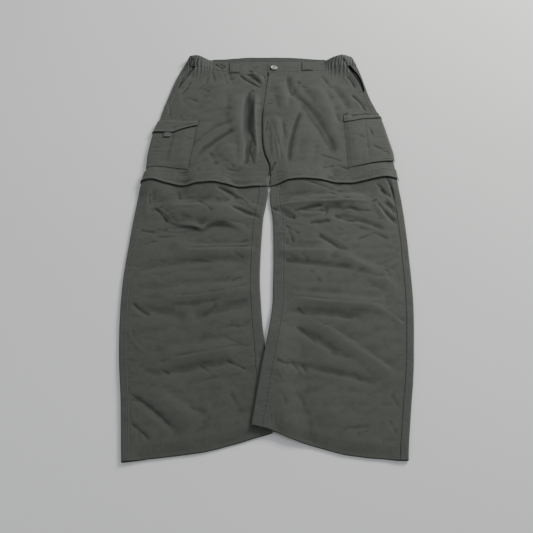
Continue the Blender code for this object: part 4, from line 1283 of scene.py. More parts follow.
@dataclass
class ClothPiece:
    """One piece of cloth: a thin shell on its solid's form."""

    name: str
    node: str
    shape: "Wrapped | Laid | Patch"
    rows: Array
    cut: Cut
    rests_on: Sequence[str]
    finish: "Nylon | Webbing" = CLOTH_FACE
    slot: Slot = Slot.NYLON
    wall: float = CLOTH
    held: Held = Held.LAID
    face_down: bool = False
    shade: Optional[Surface] = None
    with_pieces: list = field(default_factory=list)

    def make(self) -> bpy.types.Object:
        """Returns:
            The finished object.
        """
        shell = bmesh.new()
        wide, long = self.shape.count, len(self.rows)
        bmesh.ops.create_grid(shell, x_segments=wide - 1, y_segments=long - 1, size=0.5)
        flat = np.array([v.co for v in shell.verts])
        i = np.rint((flat[:, 0] + 0.5) * (wide - 1)).astype(int)
        j = np.rint((flat[:, 1] + 0.5) * (long - 1)).astype(int)
        x, y, z = self.shape.place(i, self.rows[j])
        points = np.stack([x - PLAN_CENTRE[0], y - PLAN_CENTRE[1], z], axis=1)
        for vert, point in zip(shell.verts, points):
            vert.co = point
        shell.normal_update()
        lowest = min(shell.faces, key=lambda f: f.calc_center_median().z)
        up = sum(f.normal.z * f.calc_area() for f in shell.faces)
        if (lowest.normal.z > 0) if self.face_down else (up < 0):
            bmesh.ops.reverse_faces(shell, faces=shell.faces)
        mesh = freeze(shell, self.name)
        self.mark(mesh, i, j, points, x, y)
        return self.finish_piece(mesh)

    def mark(self, mesh: bpy.types.Mesh, i: Array, j: Array, points: Array, x: Array, y: Array) -> None:
        """Keep the cloth's own coordinates and what its shader reads on the mesh.

        Args:
            mesh: The flat shell.
            i: Line across of each point.
            j: Line along of each point.
            points: Where they lie.
            x: Their place across in the plan.
            y: Their place along in the plan.
        """
        grid = np.zeros((self.shape.count, len(self.rows), 3))
        grid[i, j] = points
        run_u, run_v = run_along(grid), run_along(grid, 1)
        middle = run_u[run_u.shape[0] // 2][None, :]
        edge = np.minimum(np.minimum(run_u, run_u[-1:] - run_u), np.minimum(run_v, run_v[:, -1:] - run_v))
        height = grid[:, :, 2]
        soft = height
        for axis in (0, 1):
            wide = [np.roll(soft, k, axis=axis) for k in range(-3, 4)]
            soft = sum(wide) / len(wide)
        # deep is painted shade: below 0.5 where the cloth lies lower than its blurred height, so hollows and
        # creases are darkened in the colour; 0.5 means no shade
        deep = np.clip(0.5 + (height - soft) / (1.6 * MM), 0.0, 1.0)
        deep[:4], deep[-4:], deep[:, :4], deep[:, -4:] = 0.5, 0.5, 0.5, 0.5
        corner = np.zeros(len(mesh.loops), dtype=int)
        mesh.loops.foreach_get("vertex_index", corner)
        cloth = np.stack([(run_u - middle)[i, j], y], axis=1)
        layer = mesh.uv_layers.new(name="cloth")
        layer.data.foreach_set("uv", cloth[corner].ravel())
        # shade is painted shade and painted shadow, from each piece's own shade function
        shade = np.zeros(len(i)) if self.shade is None else np.clip(self.shade(x, y), 0.0, 1.0)
        for name, values in (("deep", deep[i, j]), ("edge", edge[i, j] / (4 * MM)), ("shade", shade)):
            kept = mesh.attributes.new(name, "FLOAT", "POINT")
            kept.data.foreach_set("value", np.clip(values, 0.0, 1.0).astype(np.float32))

    def finish_piece(self, mesh: bpy.types.Mesh) -> bpy.types.Object:
        """Give the shell its wall and material, attach it to the root, hide its solid and log its size."""
        piece = show(self.name, mesh, self.finish.make())
        wall = piece.modifiers.new("wall", "SOLIDIFY")
        wall.thickness = self.wall
        wall.offset = -1.0
        wall.use_rim = True
        wall.use_even_offset = self.held is not Held.GATHERED
        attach(piece, "root")
        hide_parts(self.node)
        area = sum(p.area for p in mesh.polygons)
        LOG.info("%s: %d faces, %.4f m2 of cloth, cut %.3f x %.3f m (%.4f m2)", self.name,
                 len(mesh.polygons), area, *self.cut)
        return piece


@dataclass(frozen=True)
class StitchKind:
    """Length, width and rise of one kind of stitch."""

    pitch: float = 3.0 * MM
    filled: float = 0.74
    width: float = 0.75 * MM
    rise: float = 0.30 * MM


PLAIN = StitchKind()
TACK = StitchKind(pitch=0.9 * MM, filled=0.9, width=2.4 * MM, rise=0.7 * MM)
COIL = StitchKind(pitch=2.2 * MM, filled=0.8, width=3.6 * MM, rise=1.0 * MM)
BUTTONHOLE = StitchKind(pitch=1.0 * MM, filled=0.85, width=1.8 * MM, rise=0.5 * MM)


class Sewing:
    """Rows of stitches, joined into one mesh for each part of the trousers."""

    def __init__(self, name: str, finish: Thread = SEWING) -> None:
        """Start an empty set of rows."""
        self.name, self.finish = name, finish
        self.meshes: list[bpy.types.Mesh] = []

    def row(self, points: Array, kind: StitchKind = PLAIN) -> None:
        """Sew one row.

        Args:
            points: The row's line on the cloth, in the plan's place.
            kind: The kind of stitch.
        """
        run = run_along(points)
        count = max(int(round(run[-1] / kind.pitch)), 1)
        per, sides = 5, 3
        strip = bmesh.new()
        bmesh.ops.create_grid(strip, x_segments=count * per, y_segments=sides, size=0.5)
        flat = np.array([v.co for v in strip.verts])
        along = (flat[:, 0] + 0.5) * count
        across = flat[:, 1] * 2.0
        at = along / count * run[-1]

        def along_line(where: Array) -> Array:
            """Points of the line at a length of way."""
            return np.stack([np.interp(where, run, points[:, k]) for k in range(3)], axis=1)

        line = along_line(at)
        ahead = along_line(at + 1 * MM) - along_line(at - 1 * MM)
        ahead /= np.maximum(np.linalg.norm(ahead, axis=1, keepdims=True), 1e-9)
        aside = np.cross(np.array([0.0, 0.0, 1.0]), ahead)
        aside /= np.maximum(np.linalg.norm(aside, axis=1, keepdims=True), 1e-9)
        up = np.cross(ahead, aside)
        part = np.mod(along + 1e-6, 1.0) / kind.filled
        swell = np.where(part < 1.0, np.sqrt(np.maximum(np.sin(math.pi * np.clip(part, 0, 1)), 0.0)), 0.0)
        round_top = kind.rise * swell * (1 - 0.75 * across ** 2)
        high = round_top - 0.30 * MM * (1 - swell) - 0.12 * MM * across ** 2
        placed = line + aside * (across * kind.width / 2)[:, None] + up * high[:, None]
        placed[:, 0] -= PLAN_CENTRE[0]
        placed[:, 1] -= PLAN_CENTRE[1]
        for vert, point in zip(strip.verts, placed):
            vert.co = point
        strip.normal_update()
        if sum(f.normal.z for f in strip.faces) < 0:
            bmesh.ops.reverse_faces(strip, faces=strip.faces)
        self.meshes.append(freeze(strip, self.name + "_row"))

    def make(self) -> bpy.types.Object:
        """Join the rows into one piece and dress it."""
        joined = bmesh.new()
        for mesh in self.meshes:
            joined.from_mesh(mesh)
            bpy.data.meshes.remove(mesh)
        piece = show(self.name, freeze(joined, self.name), self.finish.make())
        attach(piece, "root")
        LOG.info("%s: %d faces", self.name, len(piece.data.polygons))
        return piece


class Pen:
    """Draws lines on the cloth of one side, for the rows of stitches."""

    def __init__(self, relief: Relief) -> None:
        """Draw on one side's relief."""
        self.relief, self.plan, self.sign = relief, relief.plan, relief.sign

    def on(self, x: Array, y: Array, offset: Optional[Surface] = None) -> Array:
        """Lift points of the plan onto the cloth."""
        lift = 0.0 if offset is None else offset(x, y)
        z = self.relief.top(x, y) + self.relief.lift(x, y) + lift
        return np.stack([x, y, z], axis=1)

    def down(self, edge: Line, y0: float, y1: float, offset: Optional[Surface] = None) -> Array:
        """Line along an edge that is given by y, from y0 to y1."""
        y = np.linspace(y0, y1, max(int(abs(y1 - y0) / (2 * MM)), 4))
        return self.on(edge(y), y, offset)

    def over(self, edge: Line, x0: float, x1: float, offset: Optional[Surface] = None) -> Array:
        """Line along an edge that is given by x, from x0 to x1."""
        x = np.linspace(x0, x1, max(int(abs(x1 - x0) / (2 * MM)), 4))
        return self.on(x, edge(x), offset)

    def through(self, points: Sequence[Across], offset: Optional[Surface] = None) -> Array:
        """Line through points of the plan, in millimetres."""
        knots = np.array([(p.x * MM, p.y * MM) for p in points])
        run = run_along(knots)
        at = np.linspace(0.0, run[-1], max(int(run[-1] / (1.5 * MM)), 4))
        return self.on(curve(at, run, knots[:, 0]), curve(at, run, knots[:, 1]), offset)


def none(x: Array, y: Array) -> Array:
    """Offset of a piece that is itself the front's outer face."""
    return np.zeros_like(x)


def level(value: float) -> Line:
    """A straight line across at one y."""
    return lambda x: np.full_like(x, value)


@dataclass(frozen=True)
class Handed:
    """What differs between the two sides, in millimetres or as shares."""

    facing: Nylon
    facing_cut: Cut
    flap_cut: Cut
    band_cut: Cut
    elastic_cut: Cut
    gape: float             # how far the hand pocket's edge stands up
    sink: float             # how deep its facing dips
    facing_past: float      # how far the facing runs past the side seam
    facing_dark: float      # width of the painted shade on the facing
    beside_pocket: float    # shade along the cargo pocket, and how far it runs above its mouth
    above_mouth: float
    leg_slit: float         # gap beside the leg's front
    in_stitch: tuple        # rows of stitches inside the leg, and where they end
    in_foot: float
    bag_seam: float         # how high the cargo pocket stands at its seam
    flap_lip: float
    flap_sink: float
    flap_shade: float
    gather_start: float
    gather_calm: float
    gather_deep: float
    gather_slope: float
    gather_shade: float
    loop: tuple             # the belt loop's left edge, foot and top


HANDED = {
    -1: Handed(CLOTH_SIDE, Cut(0.034, 0.084, 0.00140), Cut(0.118, 0.048, 0.0036), Cut(0.124, 0.053, 0.0052),
               Cut(0.165, 0.038, 0.00594), gape=1.4, sink=1.4, facing_past=0.0, facing_dark=3.2,
               beside_pocket=0.8, above_mouth=15, leg_slit=0.15, in_stitch=(-2.0, 2.3), in_foot=-225,
               bag_seam=1.2, flap_lip=1.0, flap_sink=0.0, flap_shade=0.8, gather_start=0.3, gather_calm=0.3,
               gather_deep=1.5, gather_slope=0.4, gather_shade=0.62, loop=(-86, 459, 498)),
    # The right facing is near-black cloth, painted shade in the gaping pocket
    1: Handed(CLOTH_POCKET_SHADE, Cut(0.034, 0.084, 0.00190), Cut(0.110, 0.030, 0.0023), Cut(0.140, 0.038, 0.0048),
              Cut(0.178, 0.038, 0.006408), gape=2.0, sink=3.4, facing_past=1.5, facing_dark=12,
              beside_pocket=0.1, above_mouth=8, leg_slit=0.45, in_stitch=(-2.0, 2.3, 8.6), in_foot=-470,
              bag_seam=0.7, flap_lip=0.3, flap_sink=0.4, flap_shade=0.4, gather_start=0.0, gather_calm=0.26,
              gather_deep=1.05, gather_slope=-1.5, gather_shade=0.45, loop=(84, 468, 503)),
}


@dataclass
class Hip:
    """Back and front of the upper part, and the facing that shows in the hand pocket."""

    relief: Relief
    back_cut: Cut = Cut(0.300, 0.380, 0.0957)
    front_cut: Cut = Cut(0.262, 0.352, 0.0800)

    def build(self) -> None:
        """Make the three pieces."""
        relief, plan, sign, word = self.relief.all()
        hand = HANDED[sign]
        low = (lambda x: plan.zip_under(x) + ZIP_TAPE, plan.tape_top)
        high = (level(WAIST_BACK_FOOT - SLIT), lambda x: plan.waist_foot(x) - SLIT)
        spans = {Part.UNDER: 62, Part.OUTER_ROLL: 8, Part.OUTER_TOP: 7}
        ClothPiece(f"hip_back_{word}", f"back_{word}", Wrapped(relief, spans, low, high, plan.strip),
            even(104, end=0.0015), self.back_cut, ["floor"], finish=CLOTH_SIDE, face_down=True).make()

        def lip(x: Array, y: Array) -> Array:
            """The hand pocket's edge stands up."""
            edge = fading(np.abs(plan.front_outer(y) - x), 12)
            return hand.gape * MM * edge * fading(np.abs(y - 436 * MM), 54)

        def seam_shade(x: Array, y: Array) -> Array:
            """Shade in seams and creases."""
            centre = np.exp(-np.abs(x - plan.inner(y)) / (2.2 * MM))
            beside = np.exp(-(((x - plan.pocket_edge(y)) * -sign / (1.5 * MM)) ** 2)) * after(y, 136, 8)
            beside = beside * before(y, POCKETS[sign].mouth + hand.above_mouth, 8)
            return 0.95 * centre * before(y, 350, 40) + 0.35 * centre + hand.beside_pocket * beside + \
                relief.shades(SHADOWS[sign], x, y)

        ClothPiece(f"hip_front_{word}", f"front_{word}",
            Laid(relief, plan.tape_top, high[1], lip, even(82, 0.45, 0.002), outer_at=plan.front_outer),
            even(126, 0.2, 0.0015), self.front_cut, [f"hip_back_{word}"], shade=seam_shade).make()

        def facing(x: Array, y: Array) -> Array:
            """The facing dips into the pocket."""
            past = sign * (x - plan.slant(y))
            deep = hand.sink * MM * after(past, -5, 4) * fading(past - 9 * MM, 7)
            room = np.maximum(relief.coarse(x, y) - 4.6 * MM, 0.0)
            down = (CLOTH + 0.8 * MM) * fading(past - 10 * MM, 8)
            return -down - np.minimum(deep, room)

        def dark(x: Array, y: Array) -> Array:
            """Shade in the pocket's slot."""
            past = sign * (x - plan.front_outer(y))
            return 0.94 * fading(past - hand.facing_dark * MM, 4)

        def facing_end(y: Array) -> Array:
            """Outer end of the facing."""
            return plan.out_seam(y) + sign * hand.facing_past * MM - sign * 0.15 * MM

        shape = Laid(relief, level(SLANT_FOOT), high[1], facing, even(16), outer_at=facing_end,
                     inner_at=lambda y: plan.slant(y) - sign * 9 * MM)
        ClothPiece(f"hand_pocket_facing_{word}", f"pocket_facing_{word}", shape, even(44),
            hand.facing_cut, [f"hip_back_{word}"], finish=hand.facing, shade=dark).make()


@dataclass
class ZipJoin:
    """Zip tape round the leg, its coil, and the storm band over it."""

    relief: Relief
    band_cut: Cut = Cut(0.288, 0.027, 0.0077)
    front_cut: Cut = Cut(0.236, 0.015, 0.0035)
    back_cut: Cut = Cut(0.330, 0.015, 0.0049)

    def build(self) -> None:
        """Make the band, the tapes and the coil."""
        relief, plan, sign, word = self.relief.all()

        def high(x: Array) -> Array:
            """Upper edge of the tape on the front."""
            return plan.tape_top(x) - SLIT

        shape = Laid(relief, plan.tape_foot, high, none, even(80), **plan.between_seams(SLIT))
        ClothPiece(f"zip_tape_front_{word}", f"zip_front_{word}", shape, even(5), self.front_cut,
            [f"zip_tape_back_{word}"], finish=ZIP_WEB, slot=Slot.TAPE).make()
        spans = {Part.INNER_TOP: 6, Part.INNER_ROLL: 8, Part.UNDER: 70,
                 Part.OUTER_ROLL: 8, Part.OUTER_TOP: 5}
        shape = Wrapped(relief, spans, (plan.zip_under, plan.tape_foot),
                        (lambda x: plan.zip_under(x) + ZIP_TAPE - SLIT, high), plan.strip,
                        INNER_STRIP, sunk=0.7 * MM)
        ClothPiece(f"zip_tape_back_{word}", f"zip_back_{word}", shape, even(5), self.back_cut, ["floor"],
            finish=ZIP_WEB, slot=Slot.TAPE, face_down=True).make()

        def lie(x: Array, y: Array) -> Array:
            """The band lies over the tape, and its lower lip stands up."""
            lip = fading(y - plan.zip(x), 12)
            open_side = smooth(np.abs(x - plan.inner(y)) / (18 * MM) - 0.3)
            return LAY_GAP + CLOTH + STORM_LIP * lip * open_side

        pen = Pen(relief)
        sewing = Sewing(f"storm_band_sewing_{word}")
        inner = read(plan.inner, 0.1) + sign * 6 * MM
        outer = read(plan.outer, 0.11) - sign * 7 * MM
        sewing.row(pen.over(lambda x: plan.zip(x) + 24.4 * MM, inner, outer, lie))
        rows = sewing.make()
        shape = Laid(relief, plan.zip, lambda x: plan.zip(x) + STORM_BAND, lie, even(96, 0.25, 0.001))
        # Painted shade along the band's lower edge, over its last 2 mm
        ClothPiece(f"storm_band_{word}", f"zip_band_{word}", shape, even(14, 0.3, 0.02), self.band_cut,
            [f"zip_tape_front_{word}"], shade=lambda x, y: 0.25 * fading(y - plan.zip(x), 2),
            with_pieces=[rows]).make()

        coil = Sewing(f"zip_coil_{word}", TEETH)
        coil.row(pen.over(lambda x: plan.zip(x) + 8 * MM, inner, outer), COIL)
        x = np.linspace(inner + sign * 4 * MM, outer - sign * 2 * MM, 130)
        y = plan.zip_under(x) + ZIP_TAPE / 2
        under = np.stack([x, y, relief.under(x, y) + 0.7 * MM + relief.lift(x, y)], axis=1)
        coil.row(under, COIL)
        self.turn_down(coil.meshes[-1], under)
        coil.make()

    @staticmethod
    def turn_down(mesh: bpy.types.Mesh, line: Array) -> None:
        """Mirror the coil's relief so that it stands out of the underside.

        Args:
            mesh: The row as it was sewn, standing up from the line.
            line: The row's line, level within a fraction of a millimetre.
        """
        turned = bmesh.new()
        turned.from_mesh(mesh)
        order = np.argsort(line[:, 0])
        for vert in turned.verts:
            base = float(np.interp(vert.co.x + PLAN_CENTRE[0], line[order, 0], line[order, 2]))
            vert.co.z = base - (vert.co.z - base) * 0.62
        bmesh.ops.reverse_faces(turned, faces=turned.faces)
        turned.to_mesh(mesh)
        turned.free()


@dataclass
class Leg:
    """Front and back of one zip-off leg."""

    relief: Relief
    front_cut: Cut = Cut(0.250, 0.630, 0.1370)
    back_cut: Cut = Cut(0.332, 0.632, 0.1800)

    def build(self) -> None:
        """Make both panels and their seams' sewing."""
        relief, plan, sign, word = self.relief.all()
        hand = HANDED[sign]

        def top(x: Array) -> Array:
            """Upper edge of the leg's front."""
            return plan.tape_foot(x) - SLIT

        def drag(x: Array, y: Array) -> Array:
            """The puff hangs over the cloth below it."""
            ends = after(x, -226, 50) * before(x, -24, 50)
            return -7.0 * MM * np.exp(-(((y - 1 * MM) / (14 * MM)) ** 2)) * ends

        def dark(x: Array, y: Array) -> Array:
            """Shade under the storm band, in creases and under the puff."""
            hidden = 0.8 * fading(plan.zip(x) - y + 1 * MM, 2.2) + relief.shades(SHADOWS[sign], x, y)
            if sign < 0:
                off, lip = relief.puff(x, y)
                below = (off + 2) / (6.0 + 5.0 * after(x, -122, 20))
                fade = np.where(off < -2, below, (off + 2) / 1.6)
                hidden = hidden + 0.85 * lip ** 2 * np.exp(-(fade ** 2))
            return hidden

        shape = Laid(relief, plan.hem, top, none, even(84, 0.3, 0.002), drag=drag if sign < 0 else None,
                     **plan.between_seams(hand.leg_slit * MM))
        pen = Pen(relief)
        sewing = Sewing(f"leg_sewing_{word}")
        for off in (-1.9 * MM, 2.3 * MM):
            sewing.row(pen.down(lambda y: plan.out_seam(y) - sign * off, 96 * MM, -512 * MM))
        for off in hand.in_stitch:
            sewing.row(pen.down(lambda y: plan.in_seam(y) + sign * (off * MM), 84 * MM, hand.in_foot * MM))
        hem_out = read(plan.outer, -0.50) - sign * 6 * MM
        hem_in = -46 * MM if sign < 0 else read(plan.inner, -0.48) + sign * 6 * MM
        sewing.row(pen.over(lambda x: plan.hem(x) + 21 * MM, hem_out, hem_in))
        rows = sewing.make()
        ClothPiece(f"lower_leg_front_{word}", f"leg_front_{word}", shape, even(206, 0.1, 0.0008),
            self.front_cut, [f"lower_leg_back_{word}"], shade=dark, with_pieces=[rows]).make()

        low = (lambda x: plan.hem(x) - HEM_DROP, plan.hem)
        high = (lambda x: plan.zip_under(x) - SLIT, top)
        spans = {Part.INNER_TOP: 8, Part.INNER_ROLL: 8, Part.UNDER: 64,
                 Part.OUTER_ROLL: 8, Part.OUTER_TOP: 7}

        def inside(x: Array, y: Array) -> Array:
            """Shade under the storm band."""
            return 0.5 * fading(plan.zip(x) - y + 1 * MM, 3.4) * (y > 60 * MM)

        ClothPiece(f"lower_leg_back_{word}", f"leg_back_{word}",
            Wrapped(relief, spans, low, high, plan.strip, INNER_STRIP), even(190, 0.1, 0.0008),
            self.back_cut, ["floor"] if sign < 0 else ["floor", "lower_leg_front_left"],
            finish=CLOTH_SIDE, face_down=True, shade=inside).make()


@dataclass
class CargoPocket:
    """Cargo pocket and its flap, both turning round the outer edge, and the left flap's tab."""

    relief: Relief
    bag_cut: Cut = Cut(0.120, 0.165, 0.0150)
    tab_cut: Cut = Cut(0.015, 0.030, 0.00024)

    def build(self) -> None:
        """Make the pocket, the flap, their sewing and the tab."""
        relief, plan, sign, word = self.relief.all()
        hand, pocket = HANDED[sign], POCKETS[sign]

        foot, flap_foot, flap_top = (partial(plan.across, rows) for rows in
                                     (pocket.foot, pocket.flap_foot, pocket.flap_top))

        def bag(x: Array, y: Array) -> Array:
            """Height of the full pocket."""
            along = np.clip((y - 146 * MM) / ((pocket.mouth - 146) * MM), 0.0, 1.0)
            from_edge = np.abs(x - plan.pocket_edge(y))
            across = np.clip(from_edge / (90 * MM), 0.0, 1.0)
            full = smooth(along / 0.3) * smooth((1 - along) / 0.3) * smooth(across / 0.25)
            rim = smooth(np.minimum(across * 90, along * 150) / 9)
            pleat = 0.5 * MM * np.exp(-(((from_edge - 46 * MM) / (3.5 * MM)) ** 2))
            seam = hand.bag_seam * MM
            return seam + (POCKET_LAYER - seam) * rim + POCKET_FULLNESS * full - pleat * full

        def lid(x: Array, y: Array) -> Array:
            """Height of the flap over the pocket."""
            seam, lip = after(y, pocket.mouth + 1, 6), fading(y - flap_foot(x), 9)
            return bag(x, y) + FLAP_LAYER - 1.3 * MM * seam + hand.flap_lip * FLAP_LIP * lip + \
                relief.creases(FLAP_CREASES[sign], x, y) - hand.flap_sink * MM

        pen = Pen(relief)
        sewing = Sewing(f"cargo_sewing_{word}")
        outer = read(plan.outer, 0.2) - sign * 10 * MM
        inner = pocket.inner_foot * MM
        for off in (2.0 * MM, 7.5 * MM):
            sewing.row(pen.down(lambda y: plan.pocket_edge(y) + sign * off, 150 * MM,
                                (pocket.mouth - 14) * MM, bag))
            sewing.row(pen.over(lambda x: foot(x) + off, inner + sign * 3 * MM, outer, bag))
        flap_in = pocket.flap_inner * MM + sign * 2.4 * MM
        flap_out = read(plan.outer, 0.29) - sign * 8 * MM
        for off in (2.0 * MM, 7.0 * MM):
            sewing.row(pen.over(lambda x: flap_top(x) - off, flap_in, flap_out, lid))
        sewing.row(pen.over(lambda x: flap_foot(x) + 3.4 * MM, flap_in, flap_out, lid))
        low, high = read(flap_foot, flap_in), read(flap_top, flap_in)
        sewing.row(pen.down(level(flap_in), low + 4 * MM, high - 2 * MM, lid))
        corner = Across(flap_in / MM, high / MM - 4), Across(flap_in / MM + sign * 9, high / MM - 4)
        sewing.row(pen.through(corner, lid), TACK)
        rows = sewing.make()

        def under_flap(x: Array, y: Array) -> Array:
            """Shade that the flap throws."""
            return hand.flap_shade * after(y - flap_foot(x), -4.0, 3.5)

        shape = Laid(relief, foot, level(pocket.mouth * MM), bag, even(44, 0.2, 0.004),
                     inner_at=plan.pocket_edge)
        ClothPiece(f"pocket_bag_{word}", f"cargo_pocket_{word}", shape, even(60, 0.2, 0.004),
            self.bag_cut, [f"hip_front_{word}", f"hip_back_{word}"], shade=under_flap,
            with_pieces=[rows]).make()
        shape = Laid(relief, flap_foot, flap_top, lid, even(44, 0.2, 0.004),
                     inner_at=level(pocket.flap_inner * MM))
        ClothPiece(f"pocket_flap_{word}", f"cargo_flap_{word}", shape, even(22, 0.2, 0.012),
            hand.flap_cut, [f"pocket_bag_{word}"]).make()
        if sign < 0:
            self.build_tab()

    def build_tab(self) -> None:
        """Make the webbing tab that hangs from under the flap."""
        def webbing(u: Array, v: Array) -> Place:
            """The tab bulges and its foot curls up."""
            x = (-223 + 15 * u) * MM
            y = (236 + 14.8 * v) * MM
            over = POCKET_LAYER + POCKET_FULLNESS + 0.5 * MM + 1.2 * MM
            crown = 0.5 * MM * np.sin(math.pi * u) + 0.7 * MM * smooth(1 - v / 0.4)
            return x, y, self.relief.coarse(x, y) + over + crown

        # The tab's upper end, under the flap, is darkened with painted shadow
        ClothPiece("flap_pull_left", "flap_tab_left", Patch(even(14, end=0.03), webbing),
            even(12, end=0.03), self.tab_cut, ["pocket_bag_left"], finish=TAB_WEB, slot=Slot.TAPE,
            wall=1.2 * MM, shade=lambda x, y: 0.5 * after(y, 246, 5)).make()


@dataclass
class GatheredSide(Wrapped):
    """A wrapped piece whose flat part below reaches straight to the back band's end."""

    end: float = 0.0

    def place(self, index: Array, share: Array) -> Place:
        """Give the outer face, with the part below drawn out to the band and down to the floor."""
        x, y, z = super().place(index, share)
        inner, t = self.relief.plan.inner(y), self.steps[index]
        below = self.kinds[index] == Part.UNDER
        reach = inner + (x - inner) / np.maximum(t, 1e-6) - self.end
        return np.where(below, self.end + reach * t, x), y, np.where(below, 0.0, z)


@dataclass
class Waist:
    """Waistband, gathered sides, belt loops and the fly's zip."""

    reliefs: dict[int, Relief]
    back_cut: Cut = Cut(0.264, 0.0374, 0.00987)
    loop_cut: Cut = Cut(0.024, 0.044, 0.00098)
    fly_cut: Cut = Cut(0.020, 0.092, 0.00184)
    loop_width: float = 24
    gathers: float = 9.0

    def build(self) -> None:
        """Make the waist's pieces."""
        self.build_back()
        for relief in self.reliefs.values():
            self.build_front(relief)
            self.build_elastic(relief)
        for relief in self.reliefs.values():
            self.build_loop(relief)
        self.build_fly()

    @staticmethod
    def sag(x: Array) -> Array:
        """How far the back band's top edge sags towards both sides."""
        return 8.0 * MM * after(np.abs(x - 6 * MM), 40, 95)

    @staticmethod
    def back_rise(x: Array, y: Array) -> Array:
        """How far the back band stands off the floor."""
        return 0.25 * MM * (1 + ripple(x, y, 0.016, 0.012, 62))

    def build_back(self) -> None:
        """Make the back band, whose inside shows over the front's top edge."""
        def surface(u: Array, v: Array) -> Place:
            """The band from end to end, with its uneven top edge."""
            x = BAND_END[-1] + 0.1 * MM + (BAND_END[1] - BAND_END[-1] - 0.2 * MM) * u
            edge = 0.5 * MM * ripple(x, x * 0, 0.024, 1.0, 61) - self.sag(x)
            y = WAIST_BACK_FOOT + (WAIST_BACK_TOP - WAIST_BACK_FOOT + edge) * v
            return x, y, self.back_rise(x, y)

        sewing = Sewing("back_band_sewing")
        x = np.linspace(-120 * MM, 133 * MM, 140)
        top = WAIST_BACK_TOP - 4.0 * MM - self.sag(x)
        sewing.row(np.stack([x, top, self.back_rise(x, top) + BAND_CLOTH], axis=1))
        # Painted shade on the back band below 506 mm, where the front's top edge lies over it
        ClothPiece("waistband_back_cloth", "waistband_back", Patch(even(110), surface),
            even(14, 0.2, 0.012), self.back_cut, ["floor"], finish=CLOTH_LINING, wall=BAND_CLOTH,
            face_down=True, with_pieces=[sewing.make()],
            shade=lambda x, y: 0.45 * before(y, 506, 5)).make()

    def build_front(self, relief: Relief) -> None:
        """Make one front length of the waistband with its edge sewing."""
        relief, plan, sign, word = relief.all()
        end = BAND_END[sign]

        def lie(x: Array, y: Array) -> Array:
            """The band lies on the front, a little lower along its two long edges."""
            roll = np.minimum(plan.waist_top(x) - y, y - plan.waist_foot(x))
            return 0.3 * MM - 0.25 * MM * fading(roll, 2.5)

        shape = Laid(relief, plan.waist_foot, plan.waist_top, lie, even(66, 0.1, 0.003),
                     inner_at=level(BAND_MEETS + sign * CENTRE_GAP), outer_at=level(end - sign * SLIT))
        pen = Pen(relief)
        sewing = Sewing(f"waistband_sewing_{word}")
        start, stop = BAND_MEETS + sign * 3 * MM, end - sign * 2 * MM
        sewing.row(pen.over(lambda x: plan.waist_foot(x) + 2.2 * MM, start, stop, lie))
        sewing.row(pen.over(lambda x: plan.waist_top(x) - 2.4 * MM, start, stop, lie))
        sewing.row(pen.down(level(start), read(plan.waist_foot, start) + 3 * MM, 495 * MM, lie))
        foot, top = read(plan.waist_foot, end), read(plan.waist_top, end)
        sewing.row(pen.down(level(end - sign * 2.4 * MM), foot + 2 * MM, top - 2 * MM, lie))
        ClothPiece(f"waistband_cloth_{word}", f"waistband_front_{word}", shape, even(20, 0.2, 0.012),
            HANDED[sign].band_cut, ["waistband_back_cloth"], wall=BAND_CLOTH,
            with_pieces=[sewing.make()]).make()

    def build_elastic(self, relief: Relief) -> None:
        """Make one gathered side of the waist."""
        relief, plan, sign, word = relief.all()
        hand, end = HANDED[sign], BAND_END[sign]

        def there(x: Array) -> Array:
            """How strongly the cloth is gathered at x."""
            return smooth((np.abs(x - end) / (60 * MM) - hand.gather_start) / hand.gather_calm)

        def gather(x: Array, y: Array) -> Array:
            """How high the gathers stand, from 0 to 1."""
            slope = (y - 480 * MM) / (26 * MM) * hand.gather_slope
            wander = 2.4 * ripple(x, y * 0.5, 0.015, 0.022, 63 + sign)
            phase = np.abs(x - end) / (60 * MM) * self.gathers * math.pi + wander + slope
            return np.abs(np.sin(phase)) ** 0.8 * there(x)

        def ruffle(x: Array, y: Array, on_top: Array) -> Array:
            """Height that the gathers add on top, none along the waist's foot."""
            deep = hand.gather_deep * MM * (1 + 0.5 * ripple(x, y, 0.013, 0.018, 65))
            hump = fading(np.abs(np.abs(x) - 168 * MM), 34, 1.2) * after(y, 486, 22)
            fine = 0.25 * MM * ripple(x, y, 0.0035, 0.012, 67) * smooth(np.abs(x - end) / (20 * MM))
            slash = relief.creases(SLASH[sign], x, y)
            flush = 0.12 + 0.88 * smooth((y - plan.waist_foot(x)) / (11 * MM))
            return (deep * gather(x, y) + 3.4 * MM * hump + 0.5 * MM + fine + slash) * on_top * flush

        def dark(x: Array, y: Array) -> Array:
            """Shade between the gathers and in the pocket edge's fold."""
            folds = hand.gather_shade * (1 - gather(x, y)) ** 2 * there(x)
            return folds - 0.8 * relief.shades(SLASH[sign], x, y)

        low = (level(WAIST_BACK_FOOT), plan.waist_foot)
        high = (lambda x: WAIST_BACK_TOP - 8.4 * MM * before(0.31 * np.abs(x), 56, 40),
                lambda x: plan.waist_top(x) + 0.7 * MM * ripple(x, x * 0, 0.006, 1.0, 68))
        spans = {Part.UNDER: 14, Part.OUTER_ROLL: 12, Part.OUTER_TOP: 96}
        shape = GatheredSide(relief, spans, low, high, lambda y: np.abs(plan.outer(y) - end), ruffle=ruffle,
                             end=end)
        ClothPiece(f"gathered_waist_{word}", f"waist_elastic_{word}", shape, even(26, 0.1, 0.01),
            hand.elastic_cut, ["floor"], finish=CLOTH_WAIST, slot=Slot.WAIST, held=Held.GATHERED,
            face_down=True, shade=dark).make()

    def build_loop(self, relief: Relief) -> None:
        """Make one belt loop with its sewn edges."""
        x0, y0, y1 = HANDED[relief.sign].loop
        word = relief.plan.word

